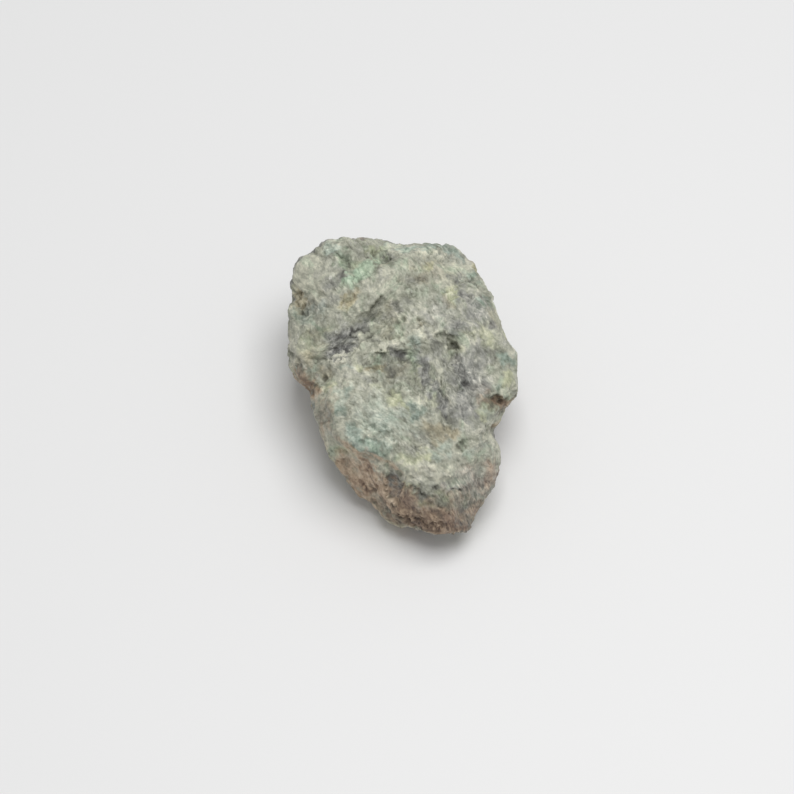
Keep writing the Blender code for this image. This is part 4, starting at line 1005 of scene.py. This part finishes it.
# %% [markdown]
# ## Gloss and fine bump
# Mica breaks into tiny mirrors. The cells of the crystals give each flake its own small tilt, and about one
# in ten is glossy, so a few of them catch the light. The rest is dull: roughness stays high, and a fine
# bump along the fibres carries on where the points of the net are too far apart. A single roughness for the
# whole stone would look like plastic.

# %% Flakes that catch the light
glossy = between(crystal_tone, 0.8, 0.95)
rough = plus(total(0.72, (streaks, -0.3)), glossy, -0.35)
tree.links.new(rough, shader.inputs["Roughness"])
shader.inputs["IOR"].default_value = 1.54

height = total(0.0, (streaks, 0.12), (grit, 0.05), (blotches, 0.05))
tilt = add("VectorMath", {0: crystals, 1: (0.5, 0.5, 0.5)}, operation="SUBTRACT")
tilt = add("VectorMath", {0: tilt, "Scale": between(glossy, least=0.25, most=0.6)}, operation="SCALE")
facing = add("NewGeometry").node.outputs["Normal"]
facing = add("VectorMath", {0: facing, 1: tilt}, operation="ADD")
facing = add("VectorMath", {0: facing}, operation="NORMALIZE")
bump = add("Bump", {"Height": height, "Distance": MM, "Strength": 1.0, "Normal": facing})
tree.links.new(bump, shader.inputs["Normal"])
stone.data.materials.append(finish)
print("nodes:", len(tree.nodes))

# %% [markdown]
# ## Light
# Rough stone looks best in soft light from above: the ledges keep gentle shadows, and no glare hides the
# colours. One large square lamp does it, with an even white sky to fill the shadows. A small lamp or a sun
# would draw hard black shadows in every pit.

# %% Soft light from above
SKY_STRENGTH = 0.4
LAMP_PLACE, LAMP_SIZE, LAMP_WATTS = (0.1, 0.0, 0.6), 0.4, 2.7
AIM = Vector((0, 0, 0.01))

scene = bpy.context.scene
scene.view_settings.view_transform = "Standard"
scene.world = bpy.data.worlds.new("studio")
scene.world.use_nodes = True
sky = scene.world.node_tree.nodes["Background"]
sky.inputs["Color"].default_value = (1.0, 1.0, 1.0, 1.0)
sky.inputs["Strength"].default_value = SKY_STRENGTH

lamp = bpy.data.objects.new("overhead", bpy.data.lights.new("overhead", "AREA"))
lamp.data.size = LAMP_SIZE
lamp.data.energy = LAMP_WATTS
lamp.location = LAMP_PLACE
lamp.rotation_mode = "QUATERNION"
lamp.rotation_quaternion = (AIM - Vector(LAMP_PLACE)).to_track_quat("-Z", "Y")
scene.collection.objects.link(lamp)
print("lamp:", LAMP_WATTS, "W from", round(LAMP_PLACE[2] * 1000), "mm above the floor")

# %% [markdown]
# ## Floor
# A wide pale floor takes the stone's shadow and throws some light back on its underside. It is four metres
# wide, so its rim stays far away in every view.

# %% A pale floor
FLOOR_REACH = 2
PALE_GREY = (0.8, 0.8, 0.8, 1.0)

floor_mesh = bpy.data.meshes.new("floor")
floor_corners = [(x * FLOOR_REACH, y * FLOOR_REACH, 0) for x, y in ((-1, -1), (1, -1), (1, 1), (-1, 1))]
floor_mesh.from_pydata(floor_corners, [], [(0, 1, 2, 3)])
floor = bpy.data.objects.new("floor", floor_mesh)
scene.collection.objects.link(floor)
floor_finish = bpy.data.materials.new("pale_floor")
floor_finish.use_nodes = True
floor_finish.node_tree.nodes["Principled BSDF"].inputs["Base Color"].default_value = PALE_GREY
floor_mesh.materials.append(floor_finish)
print("floor:", 2 * FLOOR_REACH, "m wide")

# %% [markdown]
# ## Camera
# The camera looks along the direction of view, from its distance. The lens is worked out so that 1 mm of
# the stone covers 6.85 pixels of a square picture 794 pixels wide. The stone's middle is 5 pixels right of
# the picture's middle and 12 above it, and the camera stands that much aside, with no turn and no shift.

# %% The camera
PICTURE_SIZE = 794
PIXELS_PER_MM = 6.85
SENSOR = 36.0
PIXELS_RIGHT, PIXELS_UP = 5, 12

camera = bpy.data.objects.new("view", bpy.data.cameras.new("view"))
camera.data.sensor_width = SENSOR
camera.data.lens = SENSOR * PIXELS_PER_MM * VIEW_DISTANCE / PICTURE_SIZE
camera.data.clip_start = 0.01
aside = (TO_RIGHT * PIXELS_RIGHT + TO_TOP * PIXELS_UP) / PIXELS_PER_MM
camera.location = Vector(MIDDLE + TO_EYE * VIEW_DISTANCE - aside) * MM
camera.rotation_mode = "QUATERNION"
camera.rotation_quaternion = Vector(TO_EYE).to_track_quat("Z", "Y")
scene.collection.objects.link(camera)
scene.camera = camera
print("lens:", round(camera.data.lens, 1), "mm")
